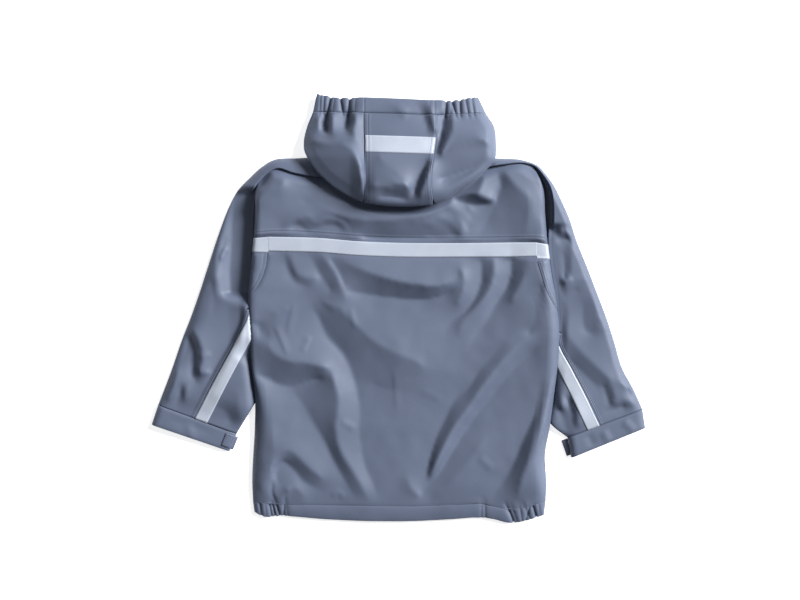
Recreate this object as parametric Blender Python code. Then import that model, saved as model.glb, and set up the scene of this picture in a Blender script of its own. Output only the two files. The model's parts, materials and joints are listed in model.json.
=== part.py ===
"""Kids' hooded raincoat of coated cloth, laid flat on a floor with its back up.

The frame is X to the right, Y towards the hood and Z up from the floor. Sizes in the
tables are millimetres. "Left" is the wearer's left, at -X, because the back is up.

Every panel is one sheet of cloth: a grid of places in plan, given a height by the way the
cloth lies, then thickened by a Solidify modifier. The fronts and the sleeves' front halves
lie on the floor. The yoke, the back and the sleeves' back halves lie over them as soft
plateaus that roll down at their edges. The hood is folded back over the yoke.
"""
import math
from collections import namedtuple

import bpy
import numpy as np

# ---------------------------------------------------------------- driving sizes (mm)
MM = 0.001
CLOTH = 1.2            # wall of the coated cloth
TAPE = 0.6             # wall of the reflective tape
GAP = 0.3              # clearance at every seam and between layers
TAPE_WIDTH = 20.0
FLOOR = CLOTH / 2      # middle of a sheet that lies on the floor
LAYER = CLOTH + GAP    # step from one lying sheet to the next
OVER_SLEEVE = 2 * LAYER + TAPE + GAP   # how far the body lifts to pass over a sleeve
EDGE_ROLL = 26.0       # how far in from its side the back reaches its full height
SHOULDER_ROLL = 16.0
SLEEVE_ROLL = 24.0
GUTTER_ROLL = 15.0     # the sleeve's roll into the fold beside the body
SLEEVE_TOP = 13.5
BESIDE_BODY = 11.0     # how far past the body's side a sleeve under it starts to rise
EXIT_MARGIN = 4.0      # how far past the place where it comes out the sleeve stays low
CUFF_TOP = 6.8         # middle of a cuff's upper wall
CUFF_END = 3.0         # height of the fold at a cuff's ends
SEAM_STEP = 1.8        # from the yoke seam to the tape below it
SLEEVE_TAPE_START = 6.6
SLEEVE_TAPE_WIDTH = 18.5
HOOD_TAPE_START = 32.5
HOOD_TAPE_WIDTH = 24.0
HOOD_ROLL = 34.0
HOOD_UNDER_ROLL = 13.0
YOKE_TOP_HEIGHT = 17.0
HOOD_REST = YOKE_TOP_HEIGHT + LAYER + 0.1   # middle of the hood's under layer on the yoke
LAP_FLAT = 30.0        # half width of the level strip along the closing
LAP_SLOPE = 20.0
SNAP_RADIUS = 6.5
SNAP_CAP = 1.2
SNAP_TOP_Y = 146.0
SNAP_PITCH = 97.0
SNAP_COUNT = 5
SLATE = (0.155, 0.195, 0.275, 1.0)
SILVER = (0.60, 0.66, 0.74, 1.0)
STUD = (0.12, 0.15, 0.21, 1.0)

# ---------------------------------------------------------------- body of the coat
# One row for each level: the rolled sides of the back, and how high the cloth lies.
Level = namedtuple("Level", "y left right height")
BODY = (
    Level(200, -190, 194, 17.0),
    Level(172, -205, 208, 17.0),
    Level(132, -210, 213, 17.0),
    Level(97, -212, 213, 17.0),
    Level(54, -214, 219, 16.5),
    Level(12, -212, 225, 16.0),
    Level(-31, -210, 228, 15.5),
    Level(-81, -209, 226, 15.0),
    Level(-122, -204, 221, 14.5),
    Level(-162, -204, 216, 14.0),
    Level(-217, -207, 208, 13.0),
    Level(-260, -208, 211, 12.0),
    Level(-306, -203, 205, 10.5),
)
YOKE_SIDE_TOP = {"left": 182.0, "right": 191.0}
YOKE_EDGE = ((-180, 195.5), (-147, 190.5), (-104, 181.5), (-76, 184.5), (-49, 191), (0, 192),
             (49, 191), (80, 188), (113, 193), (144, 199), (174, 201.5))
YOKE_SEAM = ((-184, 102), (-109, 100), (-63, 96), (-22, 94), (79, 93), (181, 94), (196, 94))
YOKE_SEAM_ENDS = {"left": 100.0, "right": 91.0}
ARMHOLE_SEAM = {
    "left": ((-184, 102), (-185, 73), (-193, 46), (-205.5, 14)),
    "right": ((196, 94), (196, 73), (203, 46), (211, 22), (219, 5)),
}
HEM_SEAM = ((-158, -280), (-109, -280), (-40, -281), (21, -282), (94, -279), (117, -278),
            (154, -287), (181, -283))
HEM_SEAM_ENDS = {"left": -276.0, "right": -275.0}
HEM_EDGE = ((-205, -289), (-197, -294), (-158, -295), (-109, -299), (-40, -302), (21, -302),
            (79, -299), (111, -297), (134, -299), (154, -304), (166, -305), (181, -302),
            (207, -294))

# Gathers: a run of small waves along an elastic, from one place to another.
Gather = namedtuple("Gather", "start end waves height")
HEM_GATHERS = (Gather(-197, -157, 5, 1.3), Gather(152, 203, 6, 1.5))
BRIM_GATHERS = (Gather(-118, -50, 7, 1.5), Gather(56, 116, 7, 1.5))

# ---------------------------------------------------------------- sleeves
# One row for each section across the sleeve's outer half: its outer fold, and the bottom of
# the gutter beside the body, which lower down is the seam beside the tape.
Section = namedtuple("Section", "outer_x outer_y inner_x inner_y")
UPPER_SLEEVE = {
    "left": (
        Section(-76, 215, -76, 188), Section(-111, 215, -109, 186.5),
        Section(-147, 213, -144, 193.5), Section(-180, 210, -174, 200.5),
        Section(-200, 196, -190, 195.5), Section(-217, 181, -203.5, 181),
        Section(-231, 164, -210, 163), Section(-242, 142, -213, 142),
        Section(-255, 108, -215, 104), Section(-272, 57, -217, 54),
        Section(-286, 14, -215, 12), Section(-296, -14, -221, -15),
        Section(-307, -42, -238, -47), Section(-324, -91, -265, -96),
        Section(-342, -138, -296, -155),
    ),
    "right": (
        Section(80, 214, 80, 192), Section(113, 214, 116, 197),
        Section(144, 213, 146, 202.5), Section(177, 211, 175, 205),
        Section(197, 206, 194, 199.5), Section(211, 192, 205, 188),
        Section(222, 175, 213, 172), Section(231, 156, 217, 154),
        Section(244, 125, 217.5, 124), Section(253, 97, 217.5, 95),
        Section(269, 57, 223, 57), Section(282, 23, 228.5, 23),
        Section(296, -14, 231.5, -14), Section(307, -48, 233, -50),
        Section(318, -85, 252, -86), Section(334, -115, 271, -122),
        Section(347, -144, 292, -165),
    ),
}
# The sleeve's inner edge from the underarm to the cuff. The body hides it but for its end.
SLEEVE_INNER = {
    "left": ((-188, -5), (-170, -44), (-173, -78), (-190, -111), (-211, -146), (-231, -179)),
    "right": ((188, -17), (178, -59), (182, -102), (201, -138), (218, -166), (241, -184)),
}
UNDER_START_Y = {"left": 0.0, "right": -36.0}     # where the seam comes out of the gutter
ARMHOLE_X = {"left": -194.0, "right": 197.0}      # where the sleeve front meets the front
ARMHOLE_TOP = {"left": 199.0, "right": 202.0}
UNDERARM_Y = 7.0
# The lower corners of each cuff, outer and inner.
CUFF_CORNERS = {"left": ((-351, -165), (-241, -203)), "right": ((351, -170), (246, -212))}
CUFF_ROLL = 14.0

# ---------------------------------------------------------------- fronts
# The shoulder, the strip that runs up to the hood, and half the neckline, from the armhole.
FRONT_TOP = {
    "left": ((-194, 199), (-180, 209), (-147, 212), (-111, 213.5), (-87, 214), (-79, 226.4),
             (-48, 226.4), (-38, 210), (-22, 190), (0, 177), (20, 173)),
    "right": ((197, 202), (182, 210), (144, 212), (111, 213.5), (91, 214), (83, 226.4),
              (49, 226.4), (38, 210), (22, 190), (0, 177), (-20, 173)),
}
FRONT_HEM_Y = {"left": -291.0, "right": -294.0}
FRONT_HEM_CENTRE_Y = -301.0

# ---------------------------------------------------------------- hood
# One row for each strip across a side panel: its place on the centre seam, the fold at the
# hood's side, the inner edge of the under layer, and that layer's height outside and inside.
Strip = namedtuple("Strip", "seam_x seam_y fold_x fold_y in_x in_y low_out low_in")
HOOD_SIDE = {
    "left": (
        Strip(-49, 276, -121, 279, -109, 276, FLOOR, FLOOR),
        Strip(-49, 256, -130, 256, -86, 253, FLOOR, FLOOR),
        Strip(-48, 236, -134, 236, -48, 227, 3, 0.9),
        Strip(-48, 225, -133, 223, -81, 227, 12, 1.6),
        Strip(-48, 213, -128, 212, -84, 213, HOOD_REST, HOOD_REST),
        Strip(-48, 199, -119, 198, -77, 196, HOOD_REST, HOOD_REST),
        Strip(-48, 185, -103, 181, -63, 193, HOOD_REST, HOOD_REST),
        Strip(-48, 172, -83, 166, -48, 191, HOOD_REST, HOOD_REST),
        Strip(-48, 162, -63, 155, -48, 173, HOOD_REST, HOOD_REST),
        Strip(-48, 156, -50, 150, -48, 157, HOOD_REST, HOOD_REST),
    ),
    "right": (
        Strip(54, 273, 124, 276, 107, 273, FLOOR, FLOOR),
        Strip(54, 253, 136, 256, 87, 250, FLOOR, FLOOR),
        Strip(53, 236, 138, 236, 49, 227, 3, 0.9),
        Strip(51, 222, 138, 223, 84, 227, 12, 1.6),
        Strip(49, 210, 136, 211, 87, 213, HOOD_REST, HOOD_REST),
        Strip(47, 199, 124, 196, 80, 196, HOOD_REST, HOOD_REST),
        Strip(46, 185, 106, 179, 66, 193, HOOD_REST, HOOD_REST),
        Strip(46, 172, 83, 164, 47, 191, HOOD_REST, HOOD_REST),
        Strip(47, 161, 65, 152, 47, 173, HOOD_REST, HOOD_REST),
        Strip(48, 154, 51, 147, 48, 156, HOOD_REST, HOOD_REST),
    ),
}
CROWN = ((-48, 149), (-19, 144.5), (15, 143.5), (48, 146))
NAPE_Y = 191.0
# One row for each level: how high the hood lies in the middle, and its fold at the sides.
HoodLevel = namedtuple("HoodLevel", "y top fold")
HOOD_LEVELS = (
    HoodLevel(306, 21, 10), HoodLevel(276, 27, 11), HoodLevel(250, 36, 12),
    HoodLevel(225, 42, 19), HoodLevel(212, 44, 25), HoodLevel(195, 45, 27),
    HoodLevel(170, 45, 27), HoodLevel(140, 43, 27),
)
BRIM = {"left": ((-119, 290), (-116, 304.5)), "right": ((119, 287), (113, 299))}
BRIM_EDGE = ((-116, 304.5), (-104, 302), (-89, 299), (-50, 298), (5, 296), (51, 294),
             (84, 295), (102, 298), (113, 299))
BRIM_UNDER = {"left": (-106, 298), "right": (104, 295)}

# ---------------------------------------------------------------- largest folds
# Each fold runs from one place to another and bows to its left by "bow". Its height is
# negative for a trough. "steep" from -1 to 1 sharpens its right side (or its left).
Fold = namedtuple("Fold", "x1 y1 x2 y2 bow width height steep")
BODY_FOLDS = (
    Fold(-118, 72, 92, 44, -16, 18, 3.2, 0.7),       # sag below the tape
    Fold(-208, -46, -98, -72, -14, 15, 3.2, 0.8),    # left pocket
    Fold(-123, -18, -66, -170, 10, 14, 3.0, 0.3),
    Fold(-104, -160, -42, -270, 4, 11, 3.4, 0.5),
    Fold(-198, -91, -176, -187, 0, 11, 2.4, 0.0),
    Fold(-184, -272, -162, -208, 6, 10, 3.0, -0.5),  # pucker above the hem
    Fold(-162, -208, -110, -250, 8, 10, 2.6, 0.5),
    Fold(116, 72, 74, -22, -14, 10, -3.0, 0.0),
    Fold(184, 68, 138, -30, -6, 13, 3.4, 0.5),
    Fold(163, -46, 55, -232, -8, 13, 4.2, 0.5),      # long diagonal
    Fold(112, -186, 32, -274, -4, 12, 3.0, 0.5),
    Fold(218, -128, 172, -270, -6, 13, 4.6, 0.6),    # deep diagonal at the right hem
    Fold(199, -130, 142, -268, -6, 12, -3.4, 0.0),
    Fold(-98, 14, 44, -78, -8, 15, 2.8, 0.6),
    Fold(-104, 70, -74, 10, 4, 10, 2.4, 0.4),
)
YOKE_FOLDS = (
    Fold(74, 172, 142, 150, -6, 10, -4.5, 0.0),      # pinch beside the hood
    Fold(141, 196, 114, 110, 8, 14, 2.8, 0.3),
    Fold(152, 194, 188, 144, 4, 10, 2.2, 0.3),
    Fold(-172, 176, -120, 128, 6, 16, 2.0, 0.3),
)
SLEEVE_FOLDS = {
    "left": (Fold(-296, -32, -286, -108, 4, 11, -4.0, 0.0),
             Fold(-236, 132, -252, 62, 0, 11, 2.4, 0.4)),
    "right": (Fold(238, 95, 235, 49, 0, 9, -3.0, 0.0), Fold(272, 16, 268, -42, 0, 11, -3.6, 0.0),
              Fold(236, -4, 296, -106, 4, 11, 3.2, 0.4), Fold(216, 47, 277, 45, 4, 9, 2.4, 0.5),
              Fold(298, -90, 304, -134, 0, 9, -2.8, 0.0)),
}
HOOD_FOLDS = (
    Fold(-28, 216, 20, 156, 2, 10, 4.0, 0.3),
    Fold(52, 218, 22, 156, 6, 9, 3.0, -0.8),
    Fold(68, 286, 40, 186, -14, 9, -4.5, 0.0),
    Fold(-99, 290, -99, 244, 0, 9, -4.0, 0.0),
    Fold(-69, 292, -74, 246, 4, 8, -3.4, 0.0),
)


# ---------------------------------------------------------------- lines and distances
def smooth(knots, values, where):
    """A cubic through the values: each knot's slope is the mean of its two spans' slopes."""
    knots = np.asarray(knots, float)
    values = np.asarray(values, float)
    where = np.asarray(where, float)
    span = np.diff(knots)
    rate = np.diff(values, axis=0) / span[:, None]
    inner = (rate[1:] * span[:-1, None] + rate[:-1] * span[1:, None]) / (span[1:] + span[:-1])[:, None]
    slope = np.vstack([rate[:1], inner, rate[-1:]])
    at = np.clip(np.searchsorted(knots, where, side="right") - 1, 0, len(span) - 1)
    t = np.clip((where - knots[at]) / span[at], 0, 1)[..., None]
    width = span[at][..., None]
    return ((2 * t ** 3 - 3 * t ** 2 + 1) * values[at] + (t ** 3 - 2 * t ** 2 + t) * width * slope[at]
            + (3 * t ** 2 - 2 * t ** 3) * values[at + 1] + (t ** 3 - t ** 2) * width * slope[at + 1])


def run_of(points):
    """How far along a line each of its points is, from 0 to 1."""
    steps = np.hypot(*np.diff(np.asarray(points, float), axis=0)[:, :2].T)
    run = np.concatenate([[0], np.cumsum(steps)])
    return run / run[-1]


def trace(points, where):
    """Places along a smooth line through the points, at parts of its length."""
    return smooth(run_of(points), points, where)


def table_at(rows, y, *columns):
    """Columns of a table whose first column is y, read smoothly at any y."""
    knots = [-row.y for row in rows]
    values = [[getattr(row, column) for column in columns] for row in rows]
    read = smooth(knots, values, -np.asarray(y, float))
    return [read[..., i] for i in range(len(columns))]


def ease(t):
    """0 below 0, 1 above 1, and a soft step between."""
    t = np.clip(t, 0, 1)
    return t * t * (3 - 2 * t)


def roll(reach):
    """Height of cloth that rolls over an edge: 0 at the edge, 1 where it lies level."""
    t = np.clip(reach, 0, 1)
    return np.sqrt(1 - (1 - t) ** 2)


def nearest(places, line):
    """For each place: distance to the line, part of the way along it, and side (right is +)."""
    line = np.asarray(line, float)
    start, leg = line[:-1], np.diff(line, axis=0)
    offset = places[..., None, :] - start
    part = np.clip((offset * leg).sum(-1) / (leg ** 2).sum(-1), 0, 1)
    away = offset - part[..., None] * leg
    reach = np.hypot(away[..., 0], away[..., 1])
    best = reach.argmin(-1)
    pick = np.expand_dims(best, -1)
    along = (best + np.take_along_axis(part, pick, -1)[..., 0]) / len(leg)
    cross = leg[best][..., 0] * np.take_along_axis(away[..., 1], pick, -1)[..., 0]
    cross = cross - leg[best][..., 1] * np.take_along_axis(away[..., 0], pick, -1)[..., 0]
    return np.take_along_axis(reach, pick, -1)[..., 0], along, -np.sign(cross)


def inside(places, outline):
    """True for places inside a closed outline."""
    x, y = places[..., 0, None], places[..., 1, None]
    a, b = np.asarray(outline, float), np.roll(np.asarray(outline, float), -1, axis=0)
    straddles = (a[:, 1] > y) != (b[:, 1] > y)
    rise = np.where(b[:, 1] == a[:, 1], 1, b[:, 1] - a[:, 1])
    crossing = a[:, 0] + (y - a[:, 1]) * (b[:, 0] - a[:, 0]) / rise
    return (straddles & (x < crossing)).sum(-1) % 2 == 1


def relief(places, folds):
    """Sum of the folds' heights at each place."""
    total = np.zeros(places.shape[:-1])
    for fold in folds:
        a, b = np.array([fold.x1, fold.y1], float), np.array([fold.x2, fold.y2], float)
        side = np.array([a[1] - b[1], b[0] - a[0]]) / math.dist(a, b)
        middle = (a + b) / 2 + side * fold.bow
        line = trace((a, middle, b), np.linspace(0, 1, 13))
        reach, along, right = nearest(places, line)
        width = fold.width * (1 - 0.45 * fold.steep * right)
        ends = ease(np.minimum(along, 1 - along) / 0.3)
        total += fold.height * np.exp(-(reach / width) ** 2) * ends
    return total


# ---------------------------------------------------------------- how the cloth lies
def hidden_sleeve(side):
    """Outline of the part of a sleeve that the body lies over."""
    hidden = [*SLEEVE_INNER[side][:-1]]
    top, low = (side_line(side, y, y, 1)[0] for y in (UNDERARM_Y, hidden[-1][1]))
    return [top, (ARMHOLE_X[side], UNDERARM_Y), *hidden, low]


def lift(places):
    """1 where the fronts lie over a sleeve, falling to 0 a little way past it."""
    best = np.zeros(places.shape[:-1])
    for side in ("left", "right"):
        outline = hidden_sleeve(side)
        reach, _, _ = nearest(places, outline + outline[:1])
        reach = np.where(inside(places, outline), 0, reach)
        best = np.maximum(best, 1 - ease((reach - 15) / 20))
    return best


def sheet_under_edge(places):
    """Middle of the front below the back's rolled edge, over the sleeve and its tape."""
    return FLOOR + OVER_SLEEVE * lift(places)


def front_height(places, side):
    """The fronts lie on the floor, rise over the sleeves and lap along the centre."""
    x = places[..., 0] if side == "left" else -places[..., 0]
    step = LAYER if side == "left" else 2 * LAYER
    lap = step * ease((x + LAP_FLAT + LAP_SLOPE) / LAP_SLOPE)
    return np.maximum(sheet_under_edge(places), FLOOR + lap)


def yoke_edge_line():
    """The yoke's upper edge: up from one side, along the neck and down the other side."""
    ends = []
    for side in ("left", "right"):
        y = YOKE_SIDE_TOP[side]
        x, = table_at(BODY, y, side)
        ends.append((float(x), y))
    return [ends[0], *YOKE_EDGE, ends[1]]


def back_height(places, folds=BODY_FOLDS + YOKE_FOLDS):
    """The yoke and back: a soft plateau with rolled sides, open at the neck and the hem."""
    y = places[..., 1]
    left, right, height = table_at(BODY, y, "left", "right", "height")
    reach = np.minimum(places[..., 0] - left, right - places[..., 0])
    body = roll(reach / EDGE_ROLL)
    top = trace(yoke_edge_line(), np.linspace(0, 1, 60))
    from_top, _, _ = nearest(places, top)
    shoulder = ease((np.abs(places[..., 0]) - 70) / 30) * ease((y - 120) / 30)
    body = body * (1 - shoulder * (1 - roll(from_top / SHOULDER_ROLL)))
    edge = sheet_under_edge(places) + LAYER
    lying = edge + (height - edge) * body + relief(places, folds) * ease(reach / 22) * ease(from_top / 12)
    return np.where(under_hood(places), np.minimum(lying, YOKE_TOP_HEIGHT), lying)


def hood_outline():
    """The hood's fold all round, from the brim's left end by the crown to its right end."""
    left = [(row.fold_x, row.fold_y) for row in HOOD_SIDE["left"]]
    right = [(row.fold_x, row.fold_y) for row in HOOD_SIDE["right"]]
    return ([*BRIM["left"][::-1]] + left[:-1] + [*CROWN] + right[:-1][::-1] + [*BRIM["right"]])


def under_hood(places):
    """True for places that the hood lies on, and just round it."""
    outline = trace(hood_outline(), np.linspace(0, 1, 90))
    reach, _, _ = nearest(places, outline)
    return inside(places, outline) | (reach < 6)


def sleeve_lines(side):
    """The sleeve's outer fold, and the line where it dips beside the body or folds under."""
    outer = [(row.outer_x, row.outer_y) for row in UPPER_SLEEVE[side]]
    out = -1 if side == "left" else 1
    start = UNDER_START_Y[side]
    gutter = [(row.inner_x, row.inner_y) for row in UPPER_SLEEVE[side] if row.inner_y > start + 8]
    exit_y = SLEEVE_INNER[side][-2][1] - EXIT_MARGIN
    beside = [(x + out * BESIDE_BODY, y) for x, y in side_line(side, start, exit_y, 5)]
    count = np.linspace(0, 1, 90)
    return trace(outer, count), trace(gutter + beside + [SLEEVE_INNER[side][-1]], count)


def sleeve_height(places, side):
    """A sleeve's upper layer: an arch between its outer fold and the dip beside the body."""
    outer, inner = sleeve_lines(side)
    out_reach, _, _ = nearest(places, outer)
    in_reach, _, _ = nearest(places, inner)
    sleeve = np.vstack([outer, CUFF_CORNERS[side], inner[::-1]])
    in_reach = np.where(inside(places, sleeve), in_reach, 0)
    cuff_reach, _, _ = nearest(places, np.array([outer[-1], inner[-1]]))
    top = CUFF_TOP + (SLEEVE_TOP - CUFF_TOP) * ease(cuff_reach / 45)
    wrinkles = relief(places, SLEEVE_FOLDS[side]) * ease(out_reach / 16) * ease(in_reach / 16)
    base = FLOOR + LAYER
    near_cuff = ease(cuff_reach / 40)
    out_roll = CUFF_ROLL + (SLEEVE_ROLL - CUFF_ROLL) * near_cuff
    arch = roll(out_reach / out_roll) * roll(in_reach / GUTTER_ROLL)
    return base + (top - base) * arch + wrinkles * ease(cuff_reach / 20)


def hood_top(places):
    """The hood's upper layer, which rolls down to its fold all round but at the brim."""
    top, fold = table_at(HOOD_LEVELS, places[..., 1], "top", "fold")
    outline = trace(hood_outline(), np.linspace(0, 1, 120))
    reach, _, _ = nearest(places, outline)
    return fold + (top - fold) * roll(reach / HOOD_ROLL) + relief(places, HOOD_FOLDS) * ease(reach / 18)


def hood_under(places, low):
    """The hood's under layer, which curls in from the same fold to the height below it."""
    fold, = table_at(HOOD_LEVELS, places[..., 1], "fold")
    outline = trace(hood_outline(), np.linspace(0, 1, 120))
    reach, _, _ = nearest(places, outline)
    return fold - (fold - low) * roll(reach / HOOD_UNDER_ROLL)


# ---------------------------------------------------------------- grids of places
def steps(*spans):
    """Stations from spans of (start, end, count), without the doubled joins."""
    parts = [np.linspace(start, end, count + 1)[1 if i else 0:]
             for i, (start, end, count) in enumerate(spans)]
    return np.concatenate(parts)


def edge_dense(inner, rim=(0.0, 0.003, 0.012, 0.03, 0.06)):
    """Stations from 0 to 1 that crowd towards both ends, where the cloth rolls."""
    rim = np.array(rim)
    middle = np.linspace(rim[-1], 1 - rim[-1], inner + 1)
    return np.concatenate([rim[:-1], middle, 1 - rim[-2::-1]])


def strip_grid(rows, across, down):
    """Places between the outer and inner ends of a table's sections."""
    ends = np.array([[row.outer_x, row.outer_y, row.inner_x, row.inner_y] for row in rows], float)
    middle = (ends[:, :2] + ends[:, 2:]) / 2
    smoothed = smooth(run_of(middle), ends, down)
    outer, inner = smoothed[:, None, :2], smoothed[:, None, 2:]
    return outer + (inner - outer) * across[None, :, None]


def patch(top, bottom, left, right, across, down):
    """Places inside four edges. Top and bottom run from left to right, the sides run down."""
    u, v = across[None, :, None], down[:, None, None]
    top, bottom = top(across)[None], bottom(across)[None]
    left, right = left(down)[:, None], right(down)[:, None]
    corners = ((1 - u) * (1 - v) * left[:1] + u * (1 - v) * right[:1]
               + (1 - u) * v * left[-1:] + u * v * right[-1:])
    return (1 - v) * top + v * bottom + (1 - u) * left + u * right - corners


def edge(points):
    """A smooth edge through the points, to be read at parts of its length."""
    return lambda where: trace(points, where)


def straight_edge(points):
    """An edge of straight runs between the points."""
    run, points = run_of(points), np.asarray(points, float)
    return lambda where: np.stack([np.interp(where, run, points[:, i]) for i in (0, 1)], -1)


def inset(plan, gap=GAP / 2 + 0.02, sides=True):
    """Draw a sheet's border in by half a seam's clearance."""
    plan = plan.copy()
    borders = [(plan[0], plan[1]), (plan[-1], plan[-2])]
    if sides:
        borders += [(plan[:, 0], plan[:, 1]), (plan[:, -1], plan[:, -2])]
    for rim, inner in borders:
        way = inner - rim
        rim += gap * way / np.maximum(np.hypot(way[:, 0], way[:, 1]), 1e-6)[:, None]
    return plan


def heights(plan, z):
    """A sheet's middle surface from its plan and its heights."""
    return np.concatenate([plan, z[..., None]], axis=-1)


def moved_out(sheet, distance):
    """The same points moved along the sheet's upward normal."""
    across = np.gradient(sheet, axis=1)
    down = np.gradient(sheet, axis=0)
    normal = np.cross(across, down)
    normal /= np.linalg.norm(normal, axis=-1)[..., None]
    return sheet + normal * distance * np.where(normal[..., 2:] < 0, -1, 1)


# ---------------------------------------------------------------- objects
def material(name, colour, roughness, metallic=0.0):
    made = bpy.data.materials.new(name)
    made.use_nodes = True
    shader = made.node_tree.nodes["Principled BSDF"]
    shader.inputs["Base Color"].default_value = colour
    shader.inputs["Roughness"].default_value = roughness
    shader.inputs["Metallic"].default_value = metallic
    return made


def add_sheet(name, sheet, thickness, colour, roughness, closed=False):
    """One panel: a grid of quads through the sheet's points, thickened both ways."""
    rows, columns = sheet.shape[:2]
    spans = columns if closed else columns - 1
    faces = []
    for i in range(rows - 1):
        for j in range(spans):
            k = (j + 1) % columns
            faces.append((i * columns + j, (i + 1) * columns + j, (i + 1) * columns + k, i * columns + k))
    mesh = bpy.data.meshes.new(name)
    mesh.from_pydata((sheet.reshape(-1, 3) * MM).tolist(), [], faces)
    mesh.materials.append(material(name + "_finish", colour, roughness))
    mesh.shade_smooth()
    panel = bpy.data.objects.new(name, mesh)
    bpy.context.scene.collection.objects.link(panel)
    wall = panel.modifiers.new("Wall", "SOLIDIFY")
    wall.thickness = thickness * MM
    wall.offset = 0.0
    wall.use_even_offset = True
    return panel


def add_cloth(name, sheet, closed=False):
    return add_sheet(name, sheet, CLOTH, SLATE, 0.55, closed)


def add_tape(name, sheet, rows=slice(None), columns=slice(None)):
    """Reflective tape on some rows and columns of a panel's points."""
    above = moved_out(sheet, (CLOTH + TAPE) / 2 + GAP)
    return add_sheet(name, above[rows, columns], TAPE, SILVER, 0.35)


# ---------------------------------------------------------------- panels of the body
def side_line(side, top, bottom, count):
    """The body's rolled side between two levels."""
    y = np.linspace(top, bottom, count)
    x, = table_at(BODY, y, side)
    return list(zip(x.tolist(), y.tolist()))


def seam_line():
    """The whole yoke seam, from one rolled side to the other."""
    ends = [side_line(side, YOKE_SEAM_ENDS[side], YOKE_SEAM_ENDS[side], 1)[0] for side in ("left", "right")]
    return [ends[0], *YOKE_SEAM, ends[1]]


def build_yoke():
    across, down = edge_dense(22), steps((0, 0.12, 2), (0.12, 1, 6))
    top = yoke_edge_line()
    sides = {}
    for side in ("left", "right"):
        sides[side] = side_line(side, YOKE_SIDE_TOP[side], YOKE_SEAM_ENDS[side], 5)
    plan = inset(patch(edge(top), edge(seam_line()), edge(sides["left"]), edge(sides["right"]), across, down))
    add_cloth("yoke", heights(plan, back_height(plan)))


def seam_rows(length, count):
    """Rows down from the yoke seam: the tape's two edges and its middle, then even rows."""
    first = np.array([0, SEAM_STEP, SEAM_STEP + TAPE_WIDTH / 2, SEAM_STEP + TAPE_WIDTH]) / length
    return np.concatenate([first[:-1], np.linspace(first[-1], 1, count)])


def hem_seam():
    """The casing's stitched line, from one rolled side to the other."""
    ends = [side_line(side, HEM_SEAM_ENDS[side], HEM_SEAM_ENDS[side], 1)[0] for side in ("left", "right")]
    return [ends[0], *HEM_SEAM, ends[1]]


def build_back():
    sides = {}
    for side in ("left", "right"):
        low = ARMHOLE_SEAM[side][-1][1] - 10
        sides[side] = [*ARMHOLE_SEAM[side]] + side_line(side, low, HEM_SEAM_ENDS[side], 9)
    across, down = edge_dense(22), seam_rows(385, 24)
    plan = inset(patch(edge(YOKE_SEAM), edge(hem_seam()), edge(sides["left"]), edge(sides["right"]),
                       across, down))
    sheet = heights(plan, back_height(plan))
    add_cloth("back", sheet)
    add_tape("back_tape", sheet, rows=slice(1, 4))


def build_gusset(side):
    """The strip of the sleeve that lies on the body, between the armhole seam and the gutter."""
    seam = [*ARMHOLE_SEAM[side]]
    tip_y = seam[-1][1] + 1
    fold = side_line(side, YOKE_SEAM_ENDS[side], tip_y, 6)
    seam[-1] = (seam[-1][0], tip_y)
    left, right = (fold, seam) if side == "left" else (seam, fold)
    across = np.array([0, 0.05, 0.16, 0.36, 0.65, 1])
    if side == "right":
        across = 1 - across[::-1]
    down = seam_rows(95, 6)
    plan = inset(patch(edge([left[0], right[0]]), edge([left[-1], right[-1]]), edge(left), edge(right),
                       across, down))
    sheet = heights(plan, back_height(plan))
    add_cloth("gusset_" + side, sheet)
    add_tape("gusset_tape_" + side, sheet, rows=slice(1, 4))


def gather_wave(x, gathers):
    """Height of the elastic's waves at x."""
    total = np.zeros_like(x)
    for run in gathers:
        part = (x - run.start) / (run.end - run.start)
        window = ease(np.minimum(part, 1 - part) / 0.08)
        total += run.height * np.sin(2 * np.pi * run.waves * part) * window
    return total


def gather_columns(left, right, gathers, plain):
    """Stations across an elastic: five to each wave in a gather, and even ones between."""
    places = [left]
    for run in gathers:
        places += list(np.linspace(places[-1], run.start, plain + 1)[1:])
        places += list(np.linspace(run.start, run.end, run.waves * 4 + 1)[1:])
    places += list(np.linspace(places[-1], right, plain + 1)[1:])
    return (np.array(places) - left) / (right - left)


def build_hem_casing():
    top = trace(hem_seam(), edge_dense(22))
    across = gather_columns(top[0][0], top[-1][0], HEM_GATHERS, 4)
    middle = np.linspace(0.17, 0.8, 10)
    across = np.concatenate([across[across < 0.15], middle, across[across > 0.82]])
    left = edge([top[0], HEM_EDGE[0]])
    right = edge([top[-1], HEM_EDGE[-1]])
    plan = patch(straight_edge(top), edge(HEM_EDGE), left, right, across, np.array([0.01, 0.5, 1]))
    plan = inset(plan)
    lying = back_height(plan, ())
    waves = gather_wave(plan[..., 0], HEM_GATHERS) * np.array([0.6, 1, 1])[:, None]
    sides = np.minimum(plan[..., 0] - top[0][0], top[-1][0] - plan[..., 0])
    add_cloth("hem_casing", heights(plan, lying + waves * ease(sides / 12)))


def build_front(side):
    """A front panel, flat on the floor, with the strip that reaches up to the hood."""
    top = FRONT_TOP[side]
    low = side_line(side, UNDERARM_Y - 6, FRONT_HEM_Y[side], 8)
    outer = [top[0], (ARMHOLE_X[side], UNDERARM_Y), *low]
    centre = [top[-1], (top[-1][0], FRONT_HEM_CENTRE_Y)]
    hem = [low[-1], (low[-1][0] * 0.75, -296), centre[-1]]
    marks = run_of(top)
    across = np.sort(np.concatenate([marks, [0.1, 0.28, 0.4]]))
    down = np.linspace(0, 1, 19)
    plan = patch(straight_edge(top), edge(hem), straight_edge(outer), straight_edge(centre), across, down)
    plan = inset(plan)
    add_cloth("front_" + side, heights(plan, front_height(plan, side)))


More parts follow.
